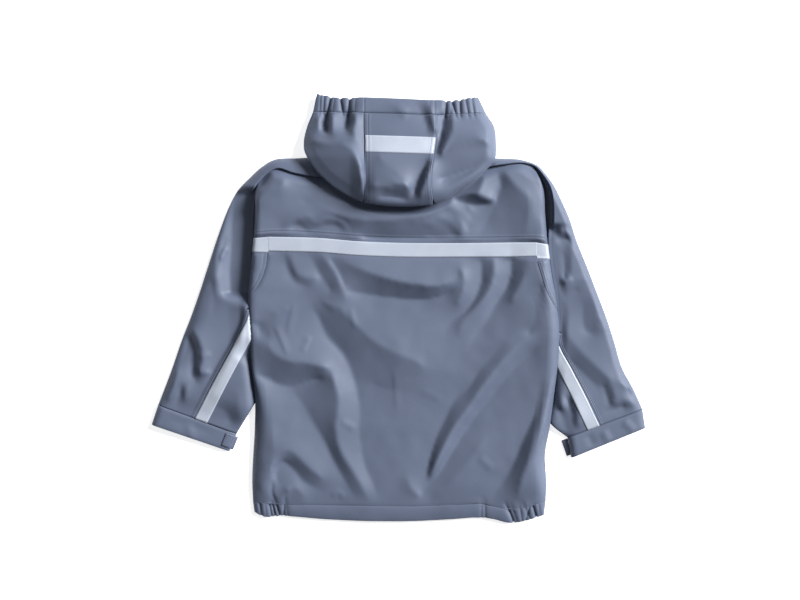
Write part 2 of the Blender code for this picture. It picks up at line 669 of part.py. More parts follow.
def build_snaps():
    """Closing snaps: round caps on the under side of the outer front."""
    for i in range(SNAP_COUNT):
        place = (0, (SNAP_TOP_Y - i * SNAP_PITCH) * MM, SNAP_CAP / 2 * MM)
        bpy.ops.mesh.primitive_cylinder_add(vertices=16, radius=SNAP_RADIUS * MM, depth=SNAP_CAP * MM,
                                            location=place)
        snap = bpy.context.object
        snap.name = f"snap_{i + 1}"
        snap.data.materials.append(material(snap.name + "_finish", STUD, 0.3))


# ---------------------------------------------------------------- sleeves
def build_upper_sleeve(side):
    across = np.array([0, 0.03, 0.1, 0.24, 0.44, 0.64, 0.82, 0.95, 1])
    down, _, _ = sleeve_rows(side)
    plan = inset(strip_grid(UPPER_SLEEVE[side], across, down))
    add_cloth("upper_sleeve_" + side, heights(plan, sleeve_height(plan, side)))


def sleeve_rows(side):
    """The upper half's stations down its length, and the first that the under half shares."""
    down = np.linspace(0, 1, 33)
    seam = strip_grid(UPPER_SLEEVE[side], np.array([1.0]), down)[:, 0]
    first = int(np.argmax(seam[:, 1] < UNDER_START_Y[side]))
    return down, seam, first


def under_sleeve_plan(side):
    """Columns at the seam and the tape's edges, then evenly to the hidden inner edge."""
    _, seam, first = sleeve_rows(side)
    seam = seam[first:, None]
    hidden = trace(SLEEVE_INNER[side], run_of(seam[:, 0]))[:, None]
    length = np.hypot(*(hidden - seam)[:, 0].T)[:, None]
    tape = SLEEVE_TAPE_START + SLEEVE_TAPE_WIDTH * np.array([0, 0.5, 1])
    past_tape = tape[-1] + (length - tape[-1]) * np.array([1 / 3, 2 / 3, 1])
    reach = np.concatenate([0 * length, np.broadcast_to(tape, (len(length), 3)), past_tape], 1)
    return seam + (hidden - seam) * (reach / length)[..., None]


def build_under_sleeve(side):
    plan = inset(under_sleeve_plan(side))
    sheet = heights(plan, sleeve_height(plan, side))
    add_cloth("under_sleeve_" + side, sheet)
    add_tape("sleeve_tape_" + side, sheet, columns=slice(1, 4))


def build_sleeve_front(side):
    """The sleeve's front half, flat on the floor from the armhole to the cuff."""
    x, top = ARMHOLE_X[side], ARMHOLE_TOP[side]
    out = -1 if side == "left" else 1
    outer = [(x + out, top - 1)]
    outer += [(row.outer_x, row.outer_y) for row in UPPER_SLEEVE[side] if row.outer_y < top - 4]
    inner = [(x, top - 6), (x, UNDERARM_Y), *SLEEVE_INNER[side]]
    down = np.linspace(0, 1, 25)
    ends = edge(outer)(down)[:, None], straight_edge(inner)(down)[:, None]
    plan = inset(ends[0] + (ends[1] - ends[0]) * np.linspace(0, 1, 5)[None, :, None])
    add_cloth("sleeve_front_" + side, heights(plan, np.full(plan.shape[:2], FLOOR)))


def cuff_ends(side):
    """A cuff's four corners: upper outer, upper inner, lower outer, lower inner."""
    outer = UPPER_SLEEVE[side][-1]
    low_outer, low_inner = CUFF_CORNERS[side]
    corners = ((outer.outer_x, outer.outer_y), SLEEVE_INNER[side][-1], low_outer, low_inner)
    return [np.array(corner, float) for corner in corners]


def cuff_wall(reach, upper):
    """Height of a cuff's wall at a distance from the nearer end of its flattened ring."""
    if upper:
        return CUFF_END + (CUFF_TOP - CUFF_END) * roll(reach / CUFF_ROLL)
    return CUFF_END - (CUFF_END - FLOOR) * roll(reach / 4)


def cuff_row(start, end, part):
    """Places on one of the rows across a cuff, part of the way from its seam to its mouth."""
    return start + (end - start) * part


def build_cuff(side):
    top_outer, top_inner, low_outer, low_inner = cuff_ends(side)
    stations = np.array([0, 0.008, 0.03, 0.08, 0.2, 0.4, 0.6, 0.8, 0.92, 0.97, 0.992, 1])
    rows = []
    for part in (0.02, 0.5, 1.0):
        a = cuff_row(top_outer, low_outer, part)
        b = cuff_row(top_inner, low_inner, part)
        length = math.dist(a, b)
        reach = np.minimum(stations, 1 - stations) * length
        plan = a + (b - a) * stations[:, None]
        upper = heights(plan, cuff_wall(reach, True))
        lower = heights(plan, cuff_wall(reach, False))
        rows.append(np.vstack([upper, lower[-2:0:-1]]))
    add_cloth("cuff_" + side, np.array(rows), closed=True)


def build_cuff_tab(side):
    """A small closing tab at the cuff's inner end: on top at the left, past the end at the right."""
    top_outer, top_inner, low_outer, low_inner = cuff_ends(side)
    parts = np.array([0.12, 0.5, 0.88])
    out = (top_inner - top_outer) / math.dist(top_inner, top_outer)
    if side == "left":
        reaches = np.array([14, 9, 4, 1, -1.5, -4.5])
        z = cuff_wall(np.maximum(reaches, 0), True) + LAYER
    else:
        reaches = np.array([-1.4, -4.5, -8.0])
        z = np.array([CUFF_END, CUFF_END - 0.8, CUFF_END - 1.4])
    inner = [cuff_row(top_inner, low_inner, part) for part in parts]
    plan = np.array([[place - out * reach for reach in reaches] for place in inner])
    add_cloth("cuff_tab_" + side, heights(plan, np.broadcast_to(z, plan.shape[:2])))


# ---------------------------------------------------------------- hood
def build_hood_side(side):
    """From the centre seam over the side fold and back below, strip by strip to the crown."""
    rows = HOOD_SIDE[side]
    table = np.array([list(row) for row in rows], float)
    knots = run_of(table[:, 2:4])
    down = np.sort(np.concatenate([knots, (knots[1:] + knots[:-1]) / 2]))
    strips = np.stack([np.interp(down, knots, column) for column in table.T], 1)
    strips[:, 2:4] = smooth(knots, table[:, 2:4], down)
    upper = np.array([0, 0.22, 0.44, 0.64, 0.8, 0.91, 0.975, 1])
    under = np.array([0.03, 0.12, 0.3, 0.55, 1])
    seam, fold, hidden = strips[:, None, 0:2], strips[:, None, 2:4], strips[:, None, 4:6]
    top_plan = seam + (fold - seam) * upper[None, :, None]
    under_plan = fold + (hidden - fold) * under[None, :, None]
    low = strips[:, 6:7] + (strips[:, 7:8] - strips[:, 6:7]) * ease(under)[None]
    plan = inset(np.concatenate([top_plan, under_plan], 1))
    count = len(upper)
    z = np.concatenate([hood_top(plan[:, :count]), hood_under(plan[:, count:], low)], 1)
    add_cloth("hood_side_" + side, heights(plan, z))


def hood_seam(side, y):
    """The centre panel's seam at a level."""
    rows = HOOD_SIDE[side][::-1]
    return np.interp(y, [row.seam_y for row in rows], [row.seam_x for row in rows])


def build_hood_centre():
    """From the brim over the crown's fold and back below to the neck seam."""
    columns = 9
    part = np.linspace(0, 1, columns)
    brim_y = np.array([HOOD_SIDE["left"][0].seam_y, HOOD_SIDE["right"][0].seam_y])
    start = brim_y[0] + (brim_y[1] - brim_y[0]) * part
    crown = edge(CROWN)(part)[:, 1]
    tape = HOOD_TAPE_START + np.array([0, 0.5, 1]) * HOOD_TAPE_WIDTH
    fixed = np.concatenate([[0, 16], tape, [70, 84, 98, 110]])
    near_crown = np.array([12.0, 6.5, 2.5, 0.6])
    upper_y = np.vstack([start - reach for reach in fixed] + [crown + reach for reach in near_crown])
    under_reach = np.concatenate([[0.6, 3.0, 9.0, 18.0], np.linspace(28, NAPE_Y - 147, 2)])
    under_y = np.vstack([crown + reach * (NAPE_Y - crown) / (NAPE_Y - 147) for reach in under_reach])
    y = np.vstack([upper_y, crown[None], under_y])
    count = len(upper_y) + 1
    left, right = hood_seam("left", y), hood_seam("right", y)
    x = left + (right - left) * part
    plan = inset(np.stack([x, y], -1), 2 * GAP)
    z = np.vstack([hood_top(plan[:count]), hood_under(plan[count:], HOOD_REST)])
    sheet = heights(plan, z)
    add_cloth("hood_centre", sheet)
    add_tape("hood_tape", sheet, rows=slice(2, 5))


def build_hood_casing():
    """The gathered casing of the hood's elastic, all along the brim and in under its ends."""
    left, right = HOOD_SIDE["left"][0], HOOD_SIDE["right"][0]
    stitch = [(left.fold_x, left.fold_y), (left.seam_x, left.seam_y), (right.seam_x, right.seam_y),
              (right.fold_x, right.fold_y)]
    across = gather_columns(stitch[0][0], stitch[-1][0], BRIM_GATHERS, 1)
    across = np.sort(np.concatenate([across[1:-1], [0, 0.006, 0.994, 1, 0.36, 0.44, 0.52, 0.6]]))
    parts = []
    for row, part in enumerate((0.03, 0.5, 1.0)):
        top = straight_edge(stitch)(across)
        brim = trace(BRIM_EDGE, across)
        plan = top + (brim - top) * part
        waves = gather_wave(plan[:, 0], BRIM_GATHERS) * (0.4, 1, 1)[row]
        reach = np.minimum(plan[:, 0] - plan[0, 0], plan[-1, 0] - plan[:, 0])
        upper = heights(plan, hood_top(plan) + waves * ease(reach / 10))
        ends = []
        for side, first in (("left", plan[0]), ("right", plan[-1])):
            strip = HOOD_SIDE[side][0]
            low = np.array([strip.in_x, strip.in_y]) * (1 - part) + np.array(BRIM_UNDER[side]) * part
            under = first + (low - first) * np.array([0.12, 0.5, 1])[:, None]
            ends.append(heights(under, hood_under(under, FLOOR)))
        parts.append(np.vstack([ends[0][::-1], upper, ends[1]]))
    add_cloth("hood_casing", np.array(parts))


# ---------------------------------------------------------------- the coat
def build_raincoat():
    build_yoke()
    build_back()
    build_hem_casing()
    for side in ("left", "right"):
        build_gusset(side)
        build_upper_sleeve(side)
        build_under_sleeve(side)
        build_sleeve_front(side)
        build_front(side)
        build_cuff(side)
        build_cuff_tab(side)
        build_hood_side(side)
    build_hood_centre()
    build_hood_casing()
    build_snaps()


for old in list(bpy.data.objects):
    bpy.data.objects.remove(old)
build_raincoat()
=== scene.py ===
# %% [markdown]
# # A child's raincoat, laid flat with its back up
# The coat is made of coated cloth, sewn from flat panels. It lies on its fronts, with both
# sleeves out and the hood folded back over the yoke. A coat like this could be draped by a
# cloth simulation, but then every crease would land where the solver puts it. Here each panel
# is drawn as a sheet in plan, and is given its height by rules that a tailor would know:
# cloth rolls over at a fold, lies level where it rests, and creases where it was bunched.
#
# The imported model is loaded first. It fixes the frame: X to the right, Y towards the hood and
# Z up from the floor. Tables are in millimetres.

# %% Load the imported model
import json
import math
from collections import namedtuple

import bpy
import numpy as np
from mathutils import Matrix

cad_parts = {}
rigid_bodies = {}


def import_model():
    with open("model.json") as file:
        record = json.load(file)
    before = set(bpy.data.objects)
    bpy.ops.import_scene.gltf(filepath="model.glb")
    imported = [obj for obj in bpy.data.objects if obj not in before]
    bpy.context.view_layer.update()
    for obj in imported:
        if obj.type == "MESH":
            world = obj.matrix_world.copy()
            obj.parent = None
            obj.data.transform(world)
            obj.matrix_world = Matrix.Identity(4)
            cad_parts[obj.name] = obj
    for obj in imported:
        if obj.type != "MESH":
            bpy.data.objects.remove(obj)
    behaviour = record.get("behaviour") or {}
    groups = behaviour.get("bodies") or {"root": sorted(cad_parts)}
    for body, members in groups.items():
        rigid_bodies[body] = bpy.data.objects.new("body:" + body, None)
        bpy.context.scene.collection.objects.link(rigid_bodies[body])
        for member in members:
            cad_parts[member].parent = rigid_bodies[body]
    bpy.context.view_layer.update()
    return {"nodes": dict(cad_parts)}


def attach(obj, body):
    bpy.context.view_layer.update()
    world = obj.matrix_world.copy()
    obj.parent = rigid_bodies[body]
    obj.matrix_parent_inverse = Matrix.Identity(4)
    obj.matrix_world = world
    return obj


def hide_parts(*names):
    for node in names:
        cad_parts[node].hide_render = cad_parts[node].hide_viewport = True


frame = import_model()
bpy.ops.object.select_all(action="DESELECT")
MM = 0.001
print("nodes in the packed model:", len(frame["nodes"]))

# %% [markdown]
# ## Camera, floor and light
# The coat is looked at from straight above, as on a copy stand. A long lens keeps the raised
# hood from spreading outwards. The main light is a large softbox to the right, so a crease is
# bright on its right and dark on its left, and the pale room fills the shadows.

# %% Camera
VIEW_WIDTH = 1.136  # metres of floor across the picture
LENS = 90.0
SENSOR = 36.0
camera_data = bpy.data.cameras.new("camera")
camera_data.lens = LENS
camera_data.sensor_width = SENSOR
camera = bpy.data.objects.new("camera", camera_data)
camera.location = (0.0021, 0.0116, VIEW_WIDTH * LENS / SENSOR + 0.012)
bpy.context.scene.collection.objects.link(camera)
bpy.context.scene.camera = camera
print("camera height:", round(camera.location.z, 3), "m")


# %% Lights
def softbox(name, place, size, power):
    """A square area light that faces the middle of the coat. Size in metres, power in watts."""
    data = bpy.data.lights.new(name, "AREA")
    data.shape = "SQUARE"
    data.size = size
    data.energy = power
    lamp = bpy.data.objects.new(name, data)
    lamp.location = place
    x, y, z = place
    lamp.rotation_euler = (math.atan2(math.hypot(x, y), z), 0, math.atan2(x, -y))
    lamp.visible_camera = False
    bpy.context.scene.collection.objects.link(lamp)


softbox("key", (7.6, 4.05, 5.6), 3.8, 2720)
softbox("overhead", (-0.75, 0.3, 2.3), 1.0, 6)
world = bpy.data.worlds.new("room")
world.use_nodes = True
room_light = world.node_tree.nodes["Background"].inputs
room_light["Color"].default_value = (0.93, 0.96, 1.0, 1.0)
room_light["Strength"].default_value = 0.12
bpy.context.scene.world = world
bpy.context.scene.view_settings.view_transform = "Standard"

# %% [markdown]
# ## Materials
# The outer cloth is polyester with a matte rubbery coat. Close to, the coat has a fine pebble
# grain; from further off it is very even, with faint cloudy patches where it was handled. An
# image would repeat or blur, so the grain, the clouds and the small changes of gloss come
# from noise in object space, at their real sizes.


# %% Helpers for node materials
def new_finish(name):
    made = bpy.data.materials.new(name)
    made.use_nodes = True
    return made, made.node_tree, made.node_tree.nodes["Principled BSDF"]


def set_inputs(node, values):
    for name, value in values.items():
        node.inputs[name].default_value = value


def add_noise(tree, per_metre, detail):
    """Noise in object space, with so many features to the metre."""
    place = tree.nodes.new("ShaderNodeTexCoord")
    noise = tree.nodes.new("ShaderNodeTexNoise")
    set_inputs(noise, {"Scale": per_metre, "Detail": detail})
    tree.links.new(place.outputs["Object"], noise.inputs["Vector"])
    return noise.outputs["Fac"]


def spread(tree, value, low, high):
    """Spreads a noise's middle range over low to high."""
    node = tree.nodes.new("ShaderNodeMapRange")
    set_inputs(node, {"From Min": 0.3, "From Max": 0.7, "To Min": low, "To Max": high})
    tree.links.new(value, node.inputs["Value"])
    return node.outputs["Result"]


def blend_colours(tree, factor, first, second):
    """A colour between two, each given as red, green and blue."""
    node = tree.nodes.new("ShaderNodeMix")
    node.data_type = "RGBA"
    set_inputs(node, {"A": (*first, 1), "B": (*second, 1)})
    tree.links.new(factor, node.inputs["Factor"])
    return node.outputs["Result"]


def add_bump(tree, height, strength, distance, below=None):
    """Small relief that only tilts the light, laid over the bump below it, if there is one."""
    node = tree.nodes.new("ShaderNodeBump")
    set_inputs(node, {"Strength": strength, "Distance": distance})
    tree.links.new(height, node.inputs["Height"])
    if below:
        tree.links.new(below, node.inputs["Normal"])
    return node.outputs["Normal"]


# %% Coated cloth
rubber_cloth, tree, shader = new_finish("rubber_cloth")
clouds = spread(tree, add_noise(tree, 14, 3), 0.0, 1.0)
slate_blue = blend_colours(tree, clouds, (0.078, 0.0975, 0.1485), (0.0878, 0.108, 0.1625))
tree.links.new(slate_blue, shader.inputs["Base Color"])
tree.links.new(spread(tree, add_noise(tree, 55, 2), 0.56, 0.64), shader.inputs["Roughness"])
soft_grain = add_bump(tree, add_noise(tree, 260, 3), 0.22, 0.0003)
pebble_grain = add_bump(tree, add_noise(tree, 1500, 2), 0.25, 0.00012, soft_grain)
tree.links.new(pebble_grain, shader.inputs["Normal"])
set_inputs(shader, {"Specular IOR Level": 0.36, "Sheen Weight": 0.08, "Sheen Roughness": 0.45,
                    "Sheen Tint": (0.75, 0.82, 1.0, 1.0)})
print("coated cloth:", len(tree.nodes), "nodes")

# %% [markdown]
# The inner side of the cloth is its knitted carrier: duller, a little paler, with fine ribs.
# It shows only inside the hood's mouth, the cuffs and the hem.

# %% Knitted inner side
knit_side, tree, shader = new_finish("knit_side")
ribs = tree.nodes.new("ShaderNodeTexWave")
set_inputs(ribs, {"Scale": 260, "Distortion": 1.5})
place = tree.nodes.new("ShaderNodeTexCoord")
tree.links.new(place.outputs["Object"], ribs.inputs["Vector"])
knit_colour = blend_colours(tree, ribs.outputs["Fac"], (0.1, 0.12, 0.165), (0.14, 0.16, 0.205))
tree.links.new(knit_colour, shader.inputs["Base Color"])
tree.links.new(add_bump(tree, ribs.outputs["Fac"], 0.35, 0.0002), shader.inputs["Normal"])
set_inputs(shader, {"Roughness": 0.85, "Specular IOR Level": 0.25})
print("knitted side:", len(tree.nodes), "nodes")

# %% [markdown]
# Reflective tape is woven cloth under a layer of tiny glass beads. By day it is an even pale
# silver with a slight blue cast. The beads give it a fine sparkle, and handling leaves it a
# little cloudy.

# %% Reflective tape
silver_tape, tree, shader = new_finish("silver_tape")
beads = add_noise(tree, 2600, 1)
handled = spread(tree, add_noise(tree, 40, 3), 0.0, 1.0)
tape_colour = blend_colours(tree, handled, (0.315, 0.35, 0.42), (0.345, 0.382, 0.45))
tree.links.new(tape_colour, shader.inputs["Base Color"])
tree.links.new(spread(tree, beads, 0.38, 0.56), shader.inputs["Roughness"])
tree.links.new(add_bump(tree, beads, 0.3, 0.0001), shader.inputs["Normal"])
set_inputs(shader, {"Specular IOR Level": 0.6, "Sheen Weight": 0.1})
print("reflective tape:", len(tree.nodes), "nodes")

# %% [markdown]
# The thread is polyester of the cloth's own blue, with painted shade: random darker spots stand in for
# plies turned away from the light.
# The snap caps are moulded plastic of the same blue, glossier than the cloth and slightly
# uneven. The floor is white paper that glows a little, as a backdrop lit from behind does.

# %% Sewing thread, snap caps and floor paper
sewing_thread, tree, shader = new_finish("sewing_thread")
# painted shade: noise darkens the thread in spots, as for plies turned away from the light
ply_shade = spread(tree, add_noise(tree, 900, 1), 0.0, 1.0)
thread_colour_with_ply_shade = blend_colours(tree, ply_shade, (0.05, 0.062, 0.092), (0.08, 0.096, 0.135))
tree.links.new(thread_colour_with_ply_shade, shader.inputs["Base Color"])
set_inputs(shader, {"Roughness": 0.7})

snap_plastic, tree, shader = new_finish("snap_plastic")
tree.links.new(spread(tree, add_noise(tree, 300, 2), 0.28, 0.4), shader.inputs["Roughness"])
tree.links.new(add_bump(tree, add_noise(tree, 700, 2), 0.1, 0.0001), shader.inputs["Normal"])
cap_colour = blend_colours(tree, add_noise(tree, 60, 2), (0.06, 0.075, 0.11), (0.075, 0.09, 0.13))
tree.links.new(cap_colour, shader.inputs["Base Color"])

paper_floor, tree, shader = new_finish("paper_floor")
set_inputs(shader, {"Base Color": (0.93, 0.93, 0.935, 1), "Roughness": 0.9, "Specular IOR Level": 0.2,
                    "Emission Color": (1.0, 1.0, 1.0, 1), "Emission Strength": 0.7})
print("materials:", [m.name for m in (rubber_cloth, knit_side, silver_tape, sewing_thread, snap_plastic)])

# %% [markdown]
# ## Floor
# A plain pale sweep, wide enough that its edge never shows.

# %% Make the floor
bpy.ops.mesh.primitive_plane_add(size=12, location=(0, 0, -0.0004))
floor = bpy.context.object
floor.name = "floor"
floor.data.materials.append(paper_floor)
print("floor:", [round(side, 1) for side in floor.dimensions[:2]], "m")

# %% [markdown]
# ## Lines and distances
# Everything below is built from a few small tools: a smooth curve through points, the
# distance from a place to a line, and two easing curves. `roll` is the profile of cloth that
# goes over an edge: a quarter of an ellipse.


# %% Smooth lines
def smooth(knots, values, where):
    """A cubic through the values: each knot's slope is the mean of its two spans' slopes."""
    knots, values = np.asarray(knots, float), np.asarray(values, float)
    where = np.asarray(where, float)
    span = np.diff(knots)
    rate = np.diff(values, axis=0) / span[:, None]
    inner = (rate[1:] * span[:-1, None] + rate[:-1] * span[1:, None]) / (span[1:] + span[:-1])[:, None]
    slope = np.vstack([rate[:1], inner, rate[-1:]])
    at = np.clip(np.searchsorted(knots, where, side="right") - 1, 0, len(span) - 1)
    t = np.clip((where - knots[at]) / span[at], 0, 1)[..., None]
    width = span[at][..., None]
    return ((2 * t ** 3 - 3 * t ** 2 + 1) * values[at] + (t ** 3 - 2 * t ** 2 + t) * width * slope[at]
            + (3 * t ** 2 - 2 * t ** 3) * values[at + 1] + (t ** 3 - t ** 2) * width * slope[at + 1])


def distance_along(points):
    """How far each point of a line is from its start, along the line."""
    steps = np.linalg.norm(np.diff(np.asarray(points, float), axis=0), axis=1)
    return np.concatenate([[0], np.cumsum(steps)])


def run_of(points):
    """The same as a part of the whole, from 0 to 1."""
    run = distance_along(points)
    return run / run[-1]


def trace(points, where):
    """Places along a smooth line through the points, at parts of its length."""
    return smooth(run_of(points), points, where)


def straight(points, where):
    """Places along straight runs between the points, at parts of its length."""
    return read_along(run_of(points), points, where)


def read_along(run, points, where):
    """Points of a line, read straight between the known ones."""
    return np.stack([np.interp(where, run, column) for column in np.asarray(points, float).T], -1)


def y_on(line, x):
    """The y of a line that runs across the coat, at any x."""
    return np.interp(x, [point[0] for point in line], [point[1] for point in line])


# %% Distances and easing
def between(first, last, part):
    """A value or a point at some part of the way from the first to the last."""
    return np.asarray(first) + (np.asarray(last) - np.asarray(first)) * part


def ease(t):
    """0 below 0, 1 above 1, and a soft step between."""
    t = np.clip(t, 0, 1)
    return t * t * (3 - 2 * t)


def roll(reach):
    """Height of cloth that rolls over an edge: 0 at the edge, 1 where it lies level."""
    t = np.clip(reach, 0, 1)
    return np.sqrt(1 - (1 - t) ** 2)


def nearest(places, line):
    """For each place: distance to the line, part of the way along it, and side (right is +)."""
    line = np.asarray(line, float)
    start, leg = line[:-1], np.diff(line, axis=0)
    offset = places[..., None, :] - start
    part = np.clip((offset * leg).sum(-1) / (leg ** 2).sum(-1), 0, 1)
    away = offset - part[..., None] * leg
    reach = np.hypot(away[..., 0], away[..., 1])
    pick = np.expand_dims(reach.argmin(-1), -1)
    best = pick[..., 0]
    away = np.take_along_axis(away, pick[..., None], -2)[..., 0, :]
    cross = leg[best][..., 0] * away[..., 1] - leg[best][..., 1] * away[..., 0]
    along = (best + np.take_along_axis(part, pick, -1)[..., 0]) / len(leg)
    return np.take_along_axis(reach, pick, -1)[..., 0], along, -np.sign(cross)


def inside(places, outline):
    """True for places inside a closed outline."""
    x, y = places[..., 0, None], places[..., 1, None]
    a = np.asarray(outline, float)
    b = np.roll(a, -1, axis=0)
    straddles = (a[:, 1] > y) != (b[:, 1] > y)
    rise = np.where(b[:, 1] == a[:, 1], 1, b[:, 1] - a[:, 1])
    crossing = a[:, 0] + (y - a[:, 1]) * (b[:, 0] - a[:, 0]) / rise
    return (straddles & (x < crossing)).sum(-1) % 2 == 1


# %% [markdown]
# ## Creases
# A crease in coated cloth isn't a smooth wave. It has a crest or a valley with one steep flank
# and one gentle one, it may be crisp or soft, and it fades out at both ends. One row of a table
# holds one crease: its line in plan, the widths of its left and right flanks as one walks
# along it, its height (negative for a valley) and how crisp it is.

# %% Small creases
Crease = namedtuple("Crease", "line left right height crest")
FOOT = 0.03  # how softly a flank runs out into the cloth beside it
CREASE_FADE = 0.3  # the part of its length over which a crease fades at each end


def relief(places, creases):
    """Sum of the creases' heights at each place. Each flank is a plane, as in stiff coated cloth."""
    total = np.zeros(places.shape[:-1])
    for crease in creases:
        line = trace(crease.line, np.linspace(0, 1, 5 * len(crease.line)))
        reach, along, right = nearest(places, line)
        flank = np.where(right > 0, crease.right, crease.left)
        fall = 1 - (np.sqrt(reach ** 2 + crease.crest ** 2) - crease.crest) / flank
        fade = ease(np.minimum(along, 1 - along) / CREASE_FADE)
        total += crease.height * (fall + np.sqrt(fall ** 2 + FOOT)) / 2 * fade
    return total


# %% [markdown]
# The large folds are another matter. Coated cloth is stiff, so between a ridge and the next
# hollow it spans like a tent between its poles. A row of these tables is one ridge or hollow,
# with x, y and the height above or below the panel's own form at each point. The heights are
# set down on a lattice of small cells, and every free cell is then drawn to the mean of its
# four neighbours, again and again, until the cloth between the lines is taut. A Cloth
# modifier could do this too, but here each fold stays on the line that was drawn for it.

# %% Large folds, drawn taut between ridges and hollows
CELL = 3.0
LATTICE_MARGIN = 12.0
TAUT_ROUNDS = 420
OVERSHOOT = 0.92  # a free cell moves this much further than it needs, and so settles sooner
LINE_FADE = 0.22  # the part of its length over which a line lets go at each end


def lay_lines(lines, corner, count):
    """The lines' heights on the lattice, and how firmly a line holds each cell."""
    total, pull = np.zeros(count), np.zeros(count)
    for line in lines:
        length = distance_along(np.array(line, float)[:, :2])[-1]
        along = np.linspace(0, 1, int(length) + 2)
        points = trace(line, along)
        grip = ease(np.minimum(along, 1 - along) / LINE_FADE) + 0.002
        at = np.clip((points[:, :2] - corner) / CELL, 0, count - 1.001)
        low = np.floor(at).astype(int)
        t = at - low
        for a, b in ((0, 0), (1, 0), (0, 1), (1, 1)):
            share = grip * np.abs(1 - a - t[:, 0]) * np.abs(1 - b - t[:, 1])
            np.add.at(total, (low[:, 0] + a, low[:, 1] + b), points[:, 2] * share)
            np.add.at(pull, (low[:, 0] + a, low[:, 1] + b), share)
    return total / np.maximum(pull, 0.0001), np.clip(pull, 0, 1)


def spanned(lines, outline):
    """A lattice of heights, held by the lines and by the outline, and taut between them."""
    corner = np.min(outline, axis=0) - LATTICE_MARGIN
    count = np.ceil((np.max(outline, axis=0) + LATTICE_MARGIN - corner) / CELL).astype(int) + 1
    target, grip = lay_lines(lines, corner, count)
    i, j = np.meshgrid(np.arange(count[0]), np.arange(count[1]), indexing="ij")
    free = inside(np.stack([i, j], -1) * CELL + corner, outline)
    heights = np.where(free, target * grip, 0)
    free[[0, -1]] = free[:, [0, -1]] = False
    for _ in range(TAUT_ROUNDS):
        for colour in (0, 1):  # like the two colours of a chessboard, one after the other
            mean = np.zeros(count)
            beside = heights[2:, 1:-1] + heights[:-2, 1:-1]
            mean[1:-1, 1:-1] = (beside + heights[1:-1, 2:] + heights[1:-1, :-2]) / 4
            turn = free & ((i + j) % 2 == colour)
            goal = mean + (target - mean) * grip
            heights[turn] += ((1 + OVERSHOOT - OVERSHOOT * grip) * (goal - heights))[turn]
    return corner, heights


def read_lattice(lattice, places):
    """Heights at places, by a cubic spline that rounds each ridge a little."""
    corner, heights = lattice
    at = np.clip((places - corner) / CELL, 1, np.array(heights.shape) - 3.001)
    low = np.floor(at).astype(int)
    t = at - low
    weights = [(1 - t) ** 3 / 6, (3 * t ** 3 - 6 * t ** 2 + 4) / 6,
               (-3 * t ** 3 + 3 * t ** 2 + 3 * t + 1) / 6, t ** 3 / 6]
    return sum(heights[low[..., 0] + a - 1, low[..., 1] + b - 1] * weights[a][..., 0] * weights[b][..., 1]
               for a in range(4) for b in range(4))


# %% [markdown]
# Under the creases lies a slight unevenness, because no cloth is ever quite flat. It is smooth
# noise from a seeded table of random numbers, so that it comes out the same each time.

# %% Slight unevenness
def unevenness(places, size, seed):
    """Smooth noise with bumps about so many millimetres apart, from about -1 to 1."""
    lattice = np.random.default_rng(seed).uniform(-1, 1, (64, 64))
    at = places / size + 32
    low = np.floor(at).astype(int)
    t = ease(at - low)
    i, j = low[..., 0] % 63, low[..., 1] % 63
    near = between(lattice[i, j], lattice[i + 1, j], t[..., 0])
    far = between(lattice[i, j + 1], lattice[i + 1, j + 1], t[..., 0])
    return between(near, far, t[..., 1])


print("folds: cells of", CELL, "mm,", TAUT_ROUNDS, "rounds")


# %% [markdown]
# ## Sheets
# A panel is a grid of points through the middle of the cloth. The grid becomes a mesh of quads,
# and a Solidify modifier gives it its wall, with the knitted side on the inner wall. Folded
# edges such as a cuff's mouth are turned under first, as on a sewing table, by carrying
# the grid round a small radius and back.

# %% Make one panel
WALL = 0.8  # the cloth
TAPE_WALL = 0.45


def add_sheet(name, sheet, wall, finishes, outside_up=True, closed=False):
    """A panel through the sheet's points. Its outer side faces up unless it is an under layer."""
    rows, columns = sheet.shape[:2]
    spans = columns if closed else columns - 1
    i, j = np.meshgrid(np.arange(rows - 1), np.arange(spans), indexing="ij")
    k = (j + 1) % columns
    quads = np.stack([i * columns + j, (i + 1) * columns + j, (i + 1) * columns + k, i * columns + k], -1)
    quads = quads.reshape(-1, 4)
    points = sheet.reshape(-1, 3)
    across = points[quads[:, 2]] - points[quads[:, 0]]
    down = points[quads[:, 3]] - points[quads[:, 1]]
    facing = np.cross(across, down)[:, 2]
    top = points[quads].mean(1)[:, 2] >= np.median(points[:, 2])
    if (facing[top].sum() > 0) != outside_up:
        quads = quads[:, ::-1]
    mesh = bpy.data.meshes.new(name)
    mesh.from_pydata((points * MM).tolist(), [], quads.tolist())
    for finish in finishes:
        mesh.materials.append(finish)
    mesh.shade_smooth()
    piece = bpy.data.objects.new(name, mesh)
    bpy.context.scene.collection.objects.link(piece)
    solid = piece.modifiers.new("Wall", "SOLIDIFY")
    solid.thickness = wall * MM
    solid.offset = 0.0
    solid.material_offset = len(finishes) - 1
    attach(piece, "root")
    return piece


def add_cloth(name, sheet, **ways):
    """A panel of the coated cloth, with its knitted side inside."""
    piece = add_sheet(name, sheet, WALL, [rubber_cloth, knit_side], **ways)
    return piece


def points_at(plan, z):
    """Points in space from places in plan and their heights."""
    return np.concatenate([plan, np.asarray(z)[..., None]], axis=-1)


# %% Normals, raised strips and turned edges
def normals_of(sheet, closed=False):
    """Unit normals of a grid. On a closed grid the columns run round."""
    if closed:
        wide = np.concatenate([sheet[:, -1:], sheet, sheet[:, :1]], 1)
        across = np.gradient(wide, axis=1)[:, 1:-1]
    else:
        across = np.gradient(sheet, axis=1)
    normal = np.cross(across, np.gradient(sheet, axis=0))
    return normal / np.maximum(np.linalg.norm(normal, axis=-1), 1e-9)[..., None]


def raised(sheet, distance):
    """The same points moved off the sheet's upper side."""
    normal = normals_of(sheet)
    return sheet + normal * distance * np.where(normal[..., 2:] < 0, -1, 1)


